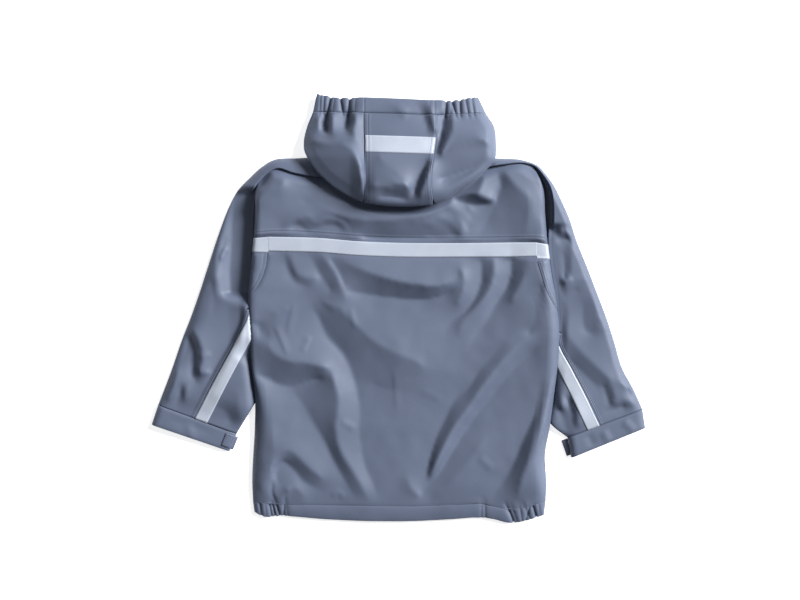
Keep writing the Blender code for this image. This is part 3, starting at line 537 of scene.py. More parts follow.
def turned_under(sheet, depth, closed=False):
    """A panel whose last row is a folded edge: round a small radius and back along the inside."""
    normal = normals_of(sheet, closed)
    normal = normal * np.sign(normal[len(sheet) // 2, sheet.shape[1] // 4, 2])
    edge, way = sheet[-1], sheet[-1] - sheet[-2]
    way = way / np.linalg.norm(way, axis=-1)[:, None]
    radius = depth / 2
    bend = [edge + way * radius * math.sin(a) - normal[-1] * radius * (1 - math.cos(a))
            for a in np.radians([30, 60, 90, 120, 150])]
    back = (sheet - normal * depth)[::-1]
    return np.concatenate([sheet, np.array(bend), back], 0)


# %% [markdown]
# A grid is laid between four edges with Coons's rule: it blends the top with the bottom and the
# left with the right, and takes the corners off once. Stations crowd where the cloth turns.

# %% Grids between edges
Edge = namedtuple("Edge", "stations places")


def patch(top, bottom, left, right):
    """Places inside four edges, given as points: top and bottom run right, the sides run down."""
    u, v = top.stations[None, :, None], left.stations[:, None, None]
    top, bottom = top.places[None], bottom.places[None]
    left, right = left.places[:, None], right.places[:, None]
    corners = ((1 - u) * (1 - v) * left[:1] + u * (1 - v) * right[:1]
               + (1 - u) * v * left[-1:] + u * v * right[-1:])
    return (1 - v) * top + v * bottom + (1 - u) * left + u * right - corners


def edge_of(points, stations, smoothly=True):
    """One edge of a grid, smooth through its points or straight between them."""
    return Edge(stations, (trace if smoothly else straight)(points, stations))


def crowded(count, rim=0.06, rim_count=6):
    """Stations from 0 to 1 that crowd towards both ends."""
    t = np.linspace(0, 1, rim_count + 1)[:-1] ** 2 * rim
    return np.concatenate([t, np.linspace(rim, 1 - rim, count), 1 - t[::-1]])


def stations_mm(length, *spans):
    """Stations along a length in mm, from spans of (start, end, step)."""
    parts = [np.arange(start, end, step) for start, end, step in spans]
    return np.concatenate(parts + [[spans[-1][1]]]) / length


print("a grid's stations crowd like this:", crowded(5).round(3))

# %% [markdown]
# ## The body's form
# The fronts lie on the floor. The back lies over them as a low plateau: it leaves the floor at
# its rolled sides, and is about 17 mm high at the shoulders and lower at the hem. One table
# gives the sides and the height at each level.

# %% Body levels and edges
Level = namedtuple("Level", "y left right height")
BODY = (
    Level(200, -190, 194, 18.0), Level(172, -202, 205, 18.5), Level(132, -203.5, 208.5, 18.5),
    Level(97, -206, 211.5, 18.0), Level(54, -210.5, 217, 17.5), Level(12, -214, 224, 17.0),
    Level(-31, -211.5, 228, 16.5), Level(-81, -209, 226, 16.0), Level(-122, -204, 221, 15.5),
    Level(-162, -204, 216, 15.0), Level(-217, -207, 208, 14.0), Level(-260, -208, 211, 12.0),
    Level(-284, -206, 208, 9.5), Level(-306, -203, 205, 6.5),
)
YOKE_EDGE = ((-184, 202), (-166, 202), (-147, 197), (-113, 191), (-76, 188), (-49, 191), (0, 192),
             (49, 191), (80, 191), (113, 199), (144, 208), (176, 210))
YOKE_SIDE_TOP = {"left": 184.0, "right": 200.0}
YOKE_SEAM = ((-184, 102), (-109, 100), (-63, 96), (-22, 94), (79, 93), (181, 94), (196, 94))
YOKE_SEAM_ENDS = {"left": 100.0, "right": 91.0}
ARMHOLE_SEAM = {
    "left": ((-184, 102), (-184.5, 76), (-185.5, 65), (-189.5, 49), (-198, 31), (-213.2, 12)),
    "right": ((196, 94), (196, 73), (203, 46), (212, 20), (224, -1)),
}
HEM_SEAM = ((-158, -280), (-109, -280), (-40, -281), (21, -282), (94, -279), (117, -278),
            (154, -287), (181, -283))
HEM_SEAM_ENDS = {"left": -276.0, "right": -275.0}
HEM_EDGE = ((-205, -289), (-197, -294), (-158, -295), (-109, -299), (-40, -302), (21, -302),
            (79, -299), (111, -297), (134, -299), (154, -304), (166, -305), (181, -302), (207, -294))
SIDES = ("left", "right")
OUT = {"left": -1, "right": 1}  # which way is outwards along X
print("body:", BODY[5].right - BODY[5].left, "mm wide at the underarms")

# %% [markdown]
# The back's main folds come from how the coat was put down. A broad one hangs below the tape,
# others leave the underarms, two long ones fall towards the hem at the right, and the elastic
# bunches the cloth at both corners. Each row is one ridge or hollow, with x, y and height at
# each of its points.

# %% Ridges and hollows of the back and yoke
BACK_LINES = (
    ((-201, 159, 3.6), (-200, 118, 4.4), (-201, 66, 4.2), (-206, 12, 3.4), (-207, -31, 2.6),
     (-204, -62, 1.3)),
    ((198, 161, 3.2), (202, 97, 5.2), (208, 26, 7.2), (217, -42, 6.5), (218, -116, 5.2)),
    ((-165, 81, 0), (-161, 67, -1), (-155, 50, -2), (-146, 36, -2.1), (-133, 31, -1.6), (-116, 31, -0.4)),
    ((-155, 81, 0.3), (-150, 67, 1), (-141, 48, 1.3), (-128, 43, 1.3), (-113, 43, 0.8)),
    ((-131, 81, 0), (-123, 70, -1.3), (-109, 44, -2), (-94, 22, -1.6)),
    ((-111, 81, 0.7), (-104, 70, 1.6), (-91, 53, 2.1), (-81, 29, 2.5), (-75, 9, 2.1)),
    ((-97, 70, 0), (-84, 50, 0.7), (-75, 29, 0.7)),
    ((-84, 70, 2), (-59, 58, 5.9), (-19, 44, 9.1), (23, 35, 9.8), (60, 34, 7.8), (80, 43, 4.5),
     (92, 57, 2.6)),
    ((-76, 26, -0.7), (-42, 19, -2.6), (-8, 14, -3.2), (32, 12, -3.2), (63, 17, -1.3), (80, 29, 1.3)),
    ((-104, 7, 1.3), (-87, 3, 2.3), (-76, -7, 3.1), (-59, -24, 3.9), (-33, -47, 4.9), (-2, -64, 5.2),
     (26, -76, 4.2), (40, -87, 2.1)),
    ((-40, -106, -4.4), (-22, -115, -3.9), (4, -117, -1.8)),
    ((-191, -44, 3.9), (-175, -64, 5.9), (-155, -74, 6.5), (-130, -77, 6.5), (-110, -82, 6.5),
     (-97, -86, 5.9)),
    ((-205, -92, -1.3), (-187, -99, -3.9), (-167, -109, -5.6), (-153, -111, -6), (-133, -107, -5.2),
     (-117, -101, -3.4), (-106, -100, -1)),
    ((-97, -86, 5.9), (-90, -109, 5.6), (-85, -135, 4.7), (-88, -157, 4.2), (-88, -177, 3.9),
     (-81, -203, 3.6), (-67, -228, 3.1), (-52, -254, 2.1), (-42, -275, 0.7)),
    ((-127, 9, -1), (-116, -8, -4.4), (-101, -39, -5.7), (-79, -64, -6), (-64, -95, -5.2),
     (-56, -126, -4.7), (-54, -166, -3.2), (-52, -194, -3.2), (-46, -223, -2.6), (-35, -251, -2),
     (-28, -275, -0.7)),
    ((-151, -115, -5.7), (-133, -140, -3.9), (-119, -166, -3.2), (-107, -186, -2.9), (-94, -214, -2.6),
     (-76, -247, -2), (-59, -274, -0.4)),
    ((-206, -19, -1.3), (-198, -31, -2.3), (-190, -42, -0.8)),
    ((-200, -95, 1.3), (-194, -126, 3.1), (-185, -160, 4.4), (-178, -189, 5.2), (-178, -206, 5.2)),
    ((-184, -248, 2.6), (-182, -226, 4.2), (-173, -207, 4.9), (-158, -200, 4.9), (-141, -211, 4.4),
     (-124, -228, 3.6), (-106, -243, 2.3)),
    ((-170, -254, -0.8), (-172, -231, -1.6), (-163, -220, -2.3), (-151, -228, -2.6), (-136, -245, -2.3),
     (-116, -256, -1.6), (-99, -262, -0.7)),
    ((-191, -245, 3.9), (-192, -275, 1.3)),
    ((-164, -262, 2), (-150, -255, 2), (-133, -268, 0.7)),
    ((111, 84, 0), (114, 74, -1), (118, 60, -2.1), (117, 38, -2.9), (110, 18, -2.9), (98, 0, -2.3),
     (79, -14, -2.1), (68, -30, -1.6), (68, -45, -0.8)),
    ((133, 78, 1.3), (135, 60, 3.1), (132, 35, 3.4), (121, 13, 2.9), (106, -4, 2.3), (90, -22, 1.6),
     (83, -39, 0.7)),
    ((87, 58, 4.7), (92, 43, 5.5), (90, 24, 3.9), (82, 4, 1.3)),
    ((158, 100, 0), (159, 78, -2.1), (160, 57, -3.2), (154, 32, -4.2), (138, 6, -4.2), (123, -22, -3.6),
     (110, -39, -2.9), (95, -70, -1.6)),
    ((184, 100, 2.6), (185, 78, 4.7), (181, 50, 5.5), (170, 26, 4.9), (158, 7, 3.1)),
    ((191, 23, 3.1), (193, -5, 3.6), (187, -27, 2.6), (183, -39, 1)),
    ((202, 35, 3.2), (204, 4, 5.2), (210, -21, 6.5), (221, -39, 5.2), (229, -51, 2.6)),
    ((156, -45, 0.8), (116, -85, -2.1), (98, -113, -3.4), (79, -130, -4.2), (68, -152, -4.4),
     (53, -183, -4.4), (44, -213, -3.9), (39, -240, -2.6), (34, -271, -1)),
    ((207, -34, 3.9), (180, -45, 4.2), (152, -70, 4.4), (124, -105, 4.4), (95, -147, 4.2),
     (79, -169, 4.4), (63, -200, 4.2), (49, -230, 3.4), (42, -246, 2)),
    ((200, -53, -0.5), (171, -78, -2.6), (142, -113, -3.9), (112, -150, -4.2), (92, -179, -4.4),
     (73, -209, -4.2), (55, -237, -3.4), (36, -258, -2.1), (27, -275, -0.7)),
    ((208, -93, 2), (200, -129, 1.3), (177, -184, 0), (160, -225, -0.8), (137, -263, -1),
     (130, -275, -0.4)),
    ((223, -85, 6.5), (219, -109, 9.8), (210, -152, 12.3), (195, -194, 12.3), (182, -224, 10.4),
     (173, -251, 7.8), (168, -275, 2.6)),
    ((126, -181, 0), (110, -204, 1), (90, -230, 1), (68, -255, 0.8), (45, -275, 0.3)),
    ((203, -215, 6.5), (204, -240, 7.2), (203, -267, 5.2)),
    ((11, -240, 0), (19, -258, 1.6), (30, -267, 1.3)),
)
YOKE_LINES = (
    ((-143, 156, 1.2), (-117, 145, 3.6), (-89, 134, 6), (-58, 127, 7.2), (-12, 126, 7.2), (31, 131, 6),
     (67, 144, 3.6), (84, 152, 1.8)),
    ((-56, 102, -3.6), (-29, 98, -5.4), (11, 98, -5.4), (59, 102, -3.6), (90, 105, -1.8)),
    ((-202, 134, 3), (-198, 152, 6), (-184, 165, 7.2), (-166, 172, 7.8), (-161, 184, 7.2)),
    ((-171, 110, 0.6), (-160, 120, 3.1), (-143, 128, 4.3), (-127, 130, 4.3), (-117, 122, 2.6),
     (-103, 128, 4.1), (-86, 127, 3.6), (-72, 117, 2.2), (-63, 105, 0.4)),
    ((-154, 110, -0.6), (-143, 117, -1.4), (-135, 113, -1.9), (-129, 106, -2.2), (-114, 112, -1.6),
     (-102, 117, -1.2), (-89, 116, -1.2), (-77, 110, -1.2)),
    ((87, 182, 6), (99, 176, 9.6), (110, 164, 9.6), (124, 156, 6.6), (139, 152, 2.4)),
    ((76, 156, -1.8), (99, 148, -3.6), (121, 146, -3.6), (141, 147, -1.2)),
    ((141, 195, -0.7), (144, 173, -1.9), (134, 145, -2.9), (122, 117, -3.1), (111, 101, -1.2)),
    ((149, 196, 2.4), (167, 173, 5.8), (184, 154, 7.2), (185, 131, 6.7), (179, 105, 4.6)),
    ((99, 145, -0.6), (105, 128, -1.8), (97, 110, -0.6)),
    ((70, 141, 1.8), (58, 129, 2.4), (45, 115, 1.2)),
    ((82, 131, 1.8), (90, 114, 2.4), (87, 104, 1.2)),
)

# %% [markdown]
# Over the large folds go a few small creases, crisp ones where the cloth was pinched.

# %% Creases of the back and yoke
BODY_CREASES = (
    Crease(((-177, -20), (-165, -47), (-155, -71)), 8, 4, 0.9, 0.8),
    Crease(((-124, -37), (-130, -49), (-137, -65)), 4, 8, 0.8, 0.8),
    Crease(((-147, 9), (-153, -17), (-158, -42)), 8, 5, 0.7, 0.8),
    Crease(((-182, -11), (-168, -4), (-153, 3)), 5, 6, 0.6, 0.8),
    Crease(((-5, -82), (-4, -116), (-2, -150)), 7, 4, 0.5, 1.2),
    Crease(((113, -209), (124, -220), (136, -230)), 7, 7, 0.8, 1.5),
    Crease(((-154, -250), (-160, -264), (-167, -278)), 6, 6, 1.1, 1),
    Crease(((-97, -270), (-86, -262), (-75, -272)), 6, 6, 0.8, 1.5),
    Crease(((-84, -159), (-72, -165), (-60, -173)), 7, 7, 0.9, 1.2),
    Crease(((28, -116), (45, -122), (65, -133)), 7, 7, 0.4, 1.5),
    Crease(((-69, 3), (-65, -14), (-60, -31)), 6, 5, 0.7, 0.8),
    Crease(((-111, 14), (-97, 3), (-86, -5)), 6, 6, 0.5, 1),
    Crease(((-177, -243), (-180, -260), (-174, -277)), 3, 4, -1.5, 0.8),
    Crease(((-195, -236), (-200, -255), (-194, -268), (-195, -280)), 3, 4, -1.5, 0.8),
    Crease(((-157, -258), (-161, -267), (-163, -277)), 3, 4, -0.8, 0.8),
)
YOKE_CREASES = (
    Crease(((52, 132), (73, 122), (90, 102)), 8, 7, 0.9, 1.5),
    Crease(((69, 145), (87, 137), (107, 114)), 8, 7, 0.9, 1.5),
    Crease(((31, 117), (48, 122), (65, 134)), 6, 6, 0.7, 1.5),
)
print("back and yoke:", len(BACK_LINES + YOKE_LINES), "large folds,",
      len(BODY_CREASES + YOKE_CREASES), "small creases")

# %% [markdown]
# An elastic in a casing draws the cloth up into short, sharp pleats that aren't evenly spaced.
# Each pleat's valley is one row: where it starts at the edge, where it ends at the stitching,
# and how deep it is. The longest ones run on into the panel.

# %% Gathers
Pleat = namedtuple("Pleat", "edge_x stitch_x depth")
HEM_PLEATS = (
    Pleat(-195.2, -197.4, 3.6), Pleat(-187.8, -189.6, 1.4), Pleat(-180.8, -184.0, 4.4),
    Pleat(-175.8, -179.2, 4.8), Pleat(-169.2, -173.8, 4.6), Pleat(-163.8, -162.2, 3.2),
    Pleat(-158.0, -158.8, 1.2), Pleat(117.6, 117.9, 1.2), Pleat(123.4, 122.6, 1.8),
    Pleat(163.6, 156.2, 5.4), Pleat(169.0, 162.0, 2.4), Pleat(175.6, 172.6, 2.2),
    Pleat(181.0, 186.4, 3.2), Pleat(187.4, 179.4, 2.4), Pleat(195.6, 190.6, 5.4),
    Pleat(201.8, 198.6, 1.8),
)
BRIM_PLEATS = (
    Pleat(-117.0, -118.0, 3.4), Pleat(-111.0, -112.2, 4.8), Pleat(-105.8, -107.0, 3.2),
    Pleat(-96.5, -100.6, 6.8), Pleat(-90.6, -93.6, 1.8), Pleat(-82.7, -79.5, 5.7),
    Pleat(-69.1, -71.0, 6.6), Pleat(-61.0, -62.0, 1.6), Pleat(67.5, 66.2, 6.5),
    Pleat(75.3, 80.4, 5.2), Pleat(77.4, 73.0, 2.2), Pleat(86.6, 87.3, 6.5),
    Pleat(94.6, 98.0, 4.0), Pleat(103.7, 106.3, 4.2), Pleat(110.8, 112.9, 2.3),
)
PLEAT_WIDTH = 2.0


def pleats(places, rows, edge_y, stitch_y, beyond=11.0):
    """Depth of the pleats, full at the edge and gone some way beyond the stitching."""
    part = (places[..., 1] - edge_y) / (stitch_y - edge_y)
    past = np.abs(stitch_y - edge_y)
    fade = 1 - ease((part * past - past) / beyond)
    total = np.zeros(places.shape[:-1])
    for row in rows:
        x = between(row.edge_x, row.stitch_x, np.clip(part, 0, 1.5))
        away = np.sqrt((places[..., 0] - x) ** 2 + 0.3)
        total -= row.depth * np.exp(-away / PLEAT_WIDTH)
    held_by_stitches = 0.4 * np.exp(-((part - 1) / 0.1) ** 2)
    return total * fade * (1 - held_by_stitches)


print("pleats:", len(HEM_PLEATS), "at the hem,", len(BRIM_PLEATS), "at the hood's brim")


# %% [markdown]
# The tables are read at any level by a smooth curve, so a line across the coat can be carried
# on to the body's rolled sides.


# %% Tables read at any level
def read_table(rows, y, *columns):
    """Columns of a table whose first column is y, read smoothly at any y."""
    values = [[getattr(row, column) for column in columns] for row in rows]
    read = smooth([-row.y for row in rows], values, -np.asarray(y, float))
    return [read[..., i] for i in range(len(columns))]


def side_line(side, top, bottom, count):
    """The body's rolled side between two levels."""
    y = np.linspace(top, bottom, count)
    return list(zip(read_table(BODY, y, side)[0].tolist(), y.tolist()))


def with_ends(line, ends):
    """A line across the back, carried on to both rolled sides."""
    first, last = (side_line(side, ends[side], ends[side], 1)[0] for side in SIDES)
    return [first, *line, last]


yoke_seam = with_ends(YOKE_SEAM, YOKE_SEAM_ENDS)
hem_seam = with_ends(HEM_SEAM, HEM_SEAM_ENDS)
yoke_edge = with_ends(YOKE_EDGE, YOKE_SIDE_TOP)
print("yoke seam:", round(distance_along(yoke_seam)[-1]), "mm long")

# %% [markdown]
# A sleeve's table has one row for each section across its upper half: the outer fold, and the
# inner end, where the cloth dips into the deep fold beside the body or meets the taped strip.
# The body's heights need it too, because the fronts rise where a sleeve lies beneath them.

# %% Sleeve tables
Section = namedtuple("Section", "outer_x outer_y inner_x inner_y")
UPPER_SLEEVE = {
    "left": (
        Section(-76, 215, -76, 186), Section(-111, 215, -111, 186.5), Section(-147, 213, -148, 192.5),
        Section(-178, 211, -174, 199), Section(-192, 203, -187, 192), Section(-210, 187, -199, 180),
        Section(-231, 164, -209, 164), Section(-242, 142, -212, 142), Section(-255, 108, -214, 104),
        Section(-272, 57, -217, 54), Section(-286, 14, -215, 12), Section(-296, -14, -221, -15),
        Section(-307, -42, -238, -47), Section(-324, -91, -265, -96), Section(-342, -138, -296, -155),
    ),
    "right": (
        Section(80, 214, 80, 192), Section(113, 214, 116, 199), Section(144, 213, 148, 204.5),
        Section(179, 210, 180, 206.5), Section(197, 203.5, 194, 202), Section(210, 190, 206, 189),
        Section(222, 173, 216, 172), Section(231, 155, 220, 154), Section(244, 125, 221, 124),
        Section(253, 97, 219.5, 95), Section(269, 57, 223, 57), Section(282, 23, 228.5, 23),
        Section(296, -14, 231.5, -14), Section(307, -48, 233, -50), Section(318, -85, 252, -86),
        Section(334, -115, 271, -122), Section(347, -144, 292, -165),
    ),
}
SLEEVE_INNER = {
    "left": ((-188, -5), (-170, -44), (-173, -78), (-190, -111), (-211, -146), (-231, -179)),
    "right": ((188, -17), (178, -59), (182, -102), (201, -138), (218, -166), (241, -184)),
}
UNDER_START_Y = {"left": 0.0, "right": -36.0}
ARMHOLE_X = {"left": -194.0, "right": 197.0}
ARMHOLE_TOP = {"left": 199.0, "right": 202.0}
UNDERARM_Y = 7.0
CUFF_CORNERS = {"left": ((-351, -165), (-241, -203)), "right": ((351, -170), (246, -212))}
print("sections:", {side: len(UPPER_SLEEVE[side]) for side in SIDES})

# %% [markdown]
# The heights are rules: the fronts rise where a sleeve passes beneath them, and the back rests
# on the fronts at its sides. Where two layers of cloth are sewn down on one side of a seam,
# that side stands a little higher, and each row of stitches pulls a shallow groove.

# %% Layers and seams
FLOOR = 0.6  # middle of cloth that lies on the floor
LAYER = 1.5
OVER_SLEEVE = 3.9
GROOVE = 0.5
YOKE_ROWS = (1.6, 7.0)  # distances of the two stitch rows from their seam
UNDERARM_ROWS = (1.4, 6.0)
SLEEVE_ROWS = (1.4, 5.0)
HOOD_ROWS = (1.6, 6.6)
HEM_ROW = 1.5  # and of the single rows
CUFF_ROW = 2.2
BRIM_ROW = 1.6


def lift(places):
    """1 where the fronts lie over a sleeve, falling to 0 a little way past it."""
    best = np.zeros(places.shape[:-1])
    for side in SIDES:
        hidden = SLEEVE_INNER[side][:-1]
        top, low = (side_line(side, y, y, 1)[0] for y in (UNDERARM_Y, hidden[-1][1]))
        outline = [top, (ARMHOLE_X[side], UNDERARM_Y), *hidden, low]
        reach, _, _ = nearest(places, outline + outline[:1])
        reach = np.where(inside(places, outline), 0, reach)
        best = np.maximum(best, 1 - ease((reach - 15) / 20))
    return best


def allowance(places, line, side, width=8.0, height=0.45, rows=YOKE_ROWS):
    """A seam's turned-in layers on one side of it (right is 1), and its stitch rows' grooves."""
    reach, _, right = nearest(places, trace(line, np.linspace(0, 1, 40)))
    signed = reach * right * side
    step = height * ease((signed + 0.3) / 1.0) * (1 - ease((signed - width) / 3.0))
    grooves = sum(GROOVE * np.exp(-((signed - row) / 0.8) ** 2) for row in rows)
    return step - grooves


# %% [markdown]
# The back and yoke share one height rule, a plateau that rolls down at both sides and drops
# towards the shoulders. The folds are added where the cloth is free. They fade at the sides,
# at the neck, and under the tape, which is stiff and irons them out.

# %% Height of the back and yoke
EDGE_ROLL = 2.6
LOW_EDGE_ROLL = 17.0
SHOULDER_ROLL = 20.0
SHOULDER_DROP = 0.55
YOKE_TOP_HEIGHT = 17.6  # as high as the yoke may lie below the hood
TAPE_MIDDLE = 11.0
TAPE_HALF = 9.0

body_outline = [*yoke_edge, *side_line("right", 185, -290, 30), *side_line("left", -290, 170, 30)]
body_spans = spanned(BACK_LINES + YOKE_LINES, np.array(body_outline))


def body_height(places, creases=BODY_CREASES + YOKE_CREASES):
    """The yoke and back: a soft plateau with rolled sides, open at the neck and the hem."""
    y = places[..., 1]
    left, right, height = read_table(BODY, y, "left", "right", "height")
    reach = np.minimum(places[..., 0] - left, right - places[..., 0])
    from_top, _, _ = nearest(places, trace(yoke_edge, np.linspace(0, 1, 60)))
    shoulder = ease((np.abs(places[..., 0]) - 70) / 30) * ease((y - 120) / 30)
    edge_roll = between(EDGE_ROLL, LOW_EDGE_ROLL, ease((-100 - y) / 60))
    drop = shoulder * SHOULDER_DROP * (1 - ease(from_top / SHOULDER_ROLL))
    edge = FLOOR + OVER_SLEEVE * lift(places) + LAYER
    crisp = ease((y + 60) / 60) * (1 - ease((y - 150) / 30))
    free = ease(reach / (14 - 9 * crisp)) * ease(from_top / 10)
    from_tape = np.abs(y - (y_on(yoke_seam, places[..., 0]) - TAPE_MIDDLE))
    stiff = 1 - ease((from_tape - TAPE_HALF) / 7)
    folds = (relief(places, creases) + read_lattice(body_spans, places)) * free * (1 - 0.75 * stiff)
    rough = 0.62 * unevenness(places, 42, 3) + 0.3 * unevenness(places, 17, 4)
    folds += rough * free * (1 - 0.8 * stiff)
    lying = between(edge, height, roll(reach / edge_roll) * (1 - drop)) + folds
    return np.minimum(lying, headroom(places))


# %% [markdown]
# ## The hood's form
# The hood is three panels and a gathered casing. Folded back, it is a flat pouch: its upper
# layer rolls down to a fold all round, and its under layer comes back below. On the yoke it
# rests 18.6 mm up, and past the shoulders it lies on the floor. One row of the table is one
# strip across a side panel, from the centre seam over the fold to the hidden inner edge.

# %% Hood tables
REST = 18.6
Strip = namedtuple("Strip", "seam_x seam_y fold_x fold_y in_x in_y low_out low_in",
                   defaults=(REST, REST))
HOOD_SIDE = {
    "left": (
        Strip(-49, 276, -121, 279, -109, 276, 0.6, 0.6), Strip(-49, 256, -130, 256, -86, 253, 0.6, 0.6),
        Strip(-48, 236, -134, 236, -48, 227, 3, 0.9), Strip(-48, 225, -133, 223, -81, 227, 12, 1.6),
        Strip(-48, 213, -128, 212, -84, 213), Strip(-48, 199, -119, 198, -77, 196),
        Strip(-48, 185, -103, 181, -63, 193), Strip(-48, 172, -83, 166, -48, 191),
        Strip(-48, 162, -63, 155, -48, 173), Strip(-48, 156, -50, 150, -48, 157),
    ),
    "right": (
        Strip(54, 273, 124, 276, 107, 273, 0.6, 0.6), Strip(54, 253, 136, 256, 87, 250, 0.6, 0.6),
        Strip(53, 236, 138, 236, 49, 227, 3, 0.9), Strip(51, 222, 138, 223, 84, 227, 12, 1.6),
        Strip(49, 210, 136, 211, 87, 213), Strip(47, 199, 124, 196, 80, 196),
        Strip(46, 185, 106, 179, 66, 193), Strip(46, 172, 83, 164, 47, 191),
        Strip(47, 161, 65, 152, 47, 173), Strip(48, 154, 51, 147, 48, 156),
    ),
}
CROWN = ((-48, 149), (-19, 144.5), (15, 143.5), (48, 146))
NAPE_Y = 191.0
HoodLevel = namedtuple("HoodLevel", "y top fold")
HOOD_LEVELS = (
    HoodLevel(306, 19, 10), HoodLevel(276, 27, 11), HoodLevel(250, 37, 12), HoodLevel(225, 44, 20),
    HoodLevel(212, 47.5, 30), HoodLevel(195, 50, 34), HoodLevel(170, 51, 36), HoodLevel(140, 49, 36),
)
BRIM = {"left": ((-119, 290), (-116, 304.5)), "right": ((119, 287), (113, 299))}
BRIM_EDGE = ((-116, 304.5), (-104, 302), (-89, 299), (-50, 298), (5, 296), (51, 294),
             (84, 295), (102, 298), (113, 299))
BRIM_UNDER = {"left": (-106, 298), "right": (104, 295)}
print("hood: strips", {side: len(HOOD_SIDE[side]) for side in SIDES})

# %% [markdown]
# The hood has the strongest folds. The elastic's pleats run on from the brim, the left side
# falls in long soft steps, and the crown has dents where it was pushed flat.

# %% Ridges, hollows and creases of the hood
HOOD_LINES = (
    ((-114, 274, 3.8), (-115, 259, 3.1), (-116, 244, 1.2)),
    ((-102, 276, -6.2), (-104, 260, -6.9), (-102, 249, -4.4)),
    ((-93, 276, 5.6), (-94, 259, 6.2), (-92, 244, 5)),
    ((-72, 276, -6.2), (-73, 261, -6.9), (-75, 251, -4.4)),
    ((-60, 276, 5.6), (-62, 259, 6.2), (-64, 243, 5.6)),
    ((-126, 238, 3.8), (-114, 235, 6.2), (-97, 230, 7.5), (-83, 230, 8.1), (-67, 221, 9.4),
     (-56, 202, 10), (-52, 182, 7.5), (-51, 165, 3.8)),
    ((-49, 273, -1.2), (-48, 244, -1.9), (-47, 202, -1.9), (-46, 156, -1.9)),
    ((28, 288, -1.2), (34, 273, -3.1), (40, 247, -2.5)),
    ((42, 290, 1.9), (47, 270, 3.1), (53, 247, 2.5)),
    ((42, 210, -1.2), (32, 190, -5), (25, 171, -6.2), (21, 158, -5)),
    ((50, 210, 2.5), (44, 193, 5), (37, 173, 5), (28, 153, 1.9)),
    ((-40, 173, 1.9), (-18, 171, 4.4), (-4, 175, 6.2), (8, 174, 6.2), (16, 165, 3.8)),
    ((-26, 156, -3.8), (-6, 156, -5), (13, 151, -5)),
    ((-29, 216, 1.9), (-12, 196, 2.5), (5, 179, 4.4)),
    ((63, 276, -4.4), (61, 253, -5.6), (57, 230, -5.6), (51, 213, -3.8)),
    ((77, 273, 5), (77, 250, 6.2), (69, 233, 5.6), (59, 215, 3.1)),
    ((58, 215, 0.6), (73, 225, 3.8), (96, 234, 7.2), (116, 237, 9.8), (129, 230, 8.8)),
    ((56, 180, -4.4), (76, 186, -6.2), (99, 193, -5.8), (116, 200, -3.8), (127, 208, -1)),
    ((-12, 288, 1.2), (-1, 281, 1.9), (13, 280, 1.9)),
)
HOOD_CREASES = (
    Crease(((36, 293), (42, 273), (46, 247)), 4, 6, -1, 1.5),
    Crease(((-6, 291), (4, 279), (13, 264)), 8, 6, 0.8, 2),
)
print("hood:", len(HOOD_LINES), "large folds,", len(HOOD_CREASES), "small creases")

# %% [markdown]
# One fold line runs all round the hood but for the brim. The upper layer rolls down to it from
# above, and the under layer from below, so the two meet there. The same line tells the yoke and
# the sleeves how high they may lie.

# %% Heights of the hood
def hood_outline():
    """The hood's fold all round, from the brim's left end by the crown to its right end."""
    folds = {side: [(row.fold_x, row.fold_y) for row in HOOD_SIDE[side]][:-1] for side in SIDES}
    return [*BRIM["left"][::-1], *folds["left"], *CROWN, *folds["right"][::-1], *BRIM["right"]]


HOOD_FOLD = trace(hood_outline(), np.linspace(0, 1, 120))
hood_spans = spanned(HOOD_LINES, HOOD_FOLD)
HOOD_ROLL = {"left": 12.0, "middle": 26.0, "right": 15.0}
HOOD_DOME = 70.0  # the left side goes on rising this far in
DOME_SHARE = 0.86
HOOD_UNDER_ROLL = 13.0
BRIM_STITCH = ((-121, 279), (-49, 276), (54, 273), (124, 276))


def headroom(places):
    """How high cloth may lie: low beneath the hood, and higher with each step away from its fold."""
    reach, _, _ = nearest(places, HOOD_FOLD)
    outside = np.where(inside(places, HOOD_FOLD), 0, reach)
    return YOKE_TOP_HEIGHT + 0.7 * np.clip(outside - 2, 0, 80)


def brim_pleats(places):
    x = places[..., 0]
    return pleats(places, BRIM_PLEATS, y_on(BRIM_EDGE, x), y_on(BRIM_STITCH, x))


def hood_top(places):
    """The upper layer, which rolls down to its fold all round but at the brim."""
    top, fold = read_table(HOOD_LEVELS, places[..., 1], "top", "fold")
    reach, _, _ = nearest(places, HOOD_FOLD)
    free = ease(reach / 16)
    creases = relief(places, HOOD_CREASES) + 0.65 * unevenness(places, 30, 11)
    creases = creases + read_lattice(hood_spans, places)
    on_left, on_right = ease((-30 - places[..., 0]) / 40), ease((places[..., 0] - 30) / 40)
    width = between(HOOD_ROLL["middle"], HOOD_ROLL["left"], on_left)
    width = width + (HOOD_ROLL["right"] - HOOD_ROLL["middle"]) * on_right
    dome = np.clip(reach / HOOD_DOME, 0, 1)
    fold = fold - 4.0 * on_left * ease((225 - places[..., 1]) / 20)
    rise = roll(reach / width) * (1 - DOME_SHARE * on_left) + dome * DOME_SHARE * on_left
    return between(fold, top, rise) + (creases + brim_pleats(places)) * free


def hood_under(places, low):
    """The under layer, which curls in from the same fold to the height below it."""
    fold, = read_table(HOOD_LEVELS, places[..., 1], "fold")
    reach, _, _ = nearest(places, HOOD_FOLD)
    return fold - (fold - low) * roll(reach / HOOD_UNDER_ROLL)


print("hood: fold of", len(HOOD_FOLD), "points")

# %% [markdown]
# ## Yoke
# The yoke is the top panel of the back. On the coat it is cut in one with the sleeves' upper
# halves and dips into a deep fold beside the body. Its lower edge is turned in and laps over the
# back and the tape, held by two rows of stitches.

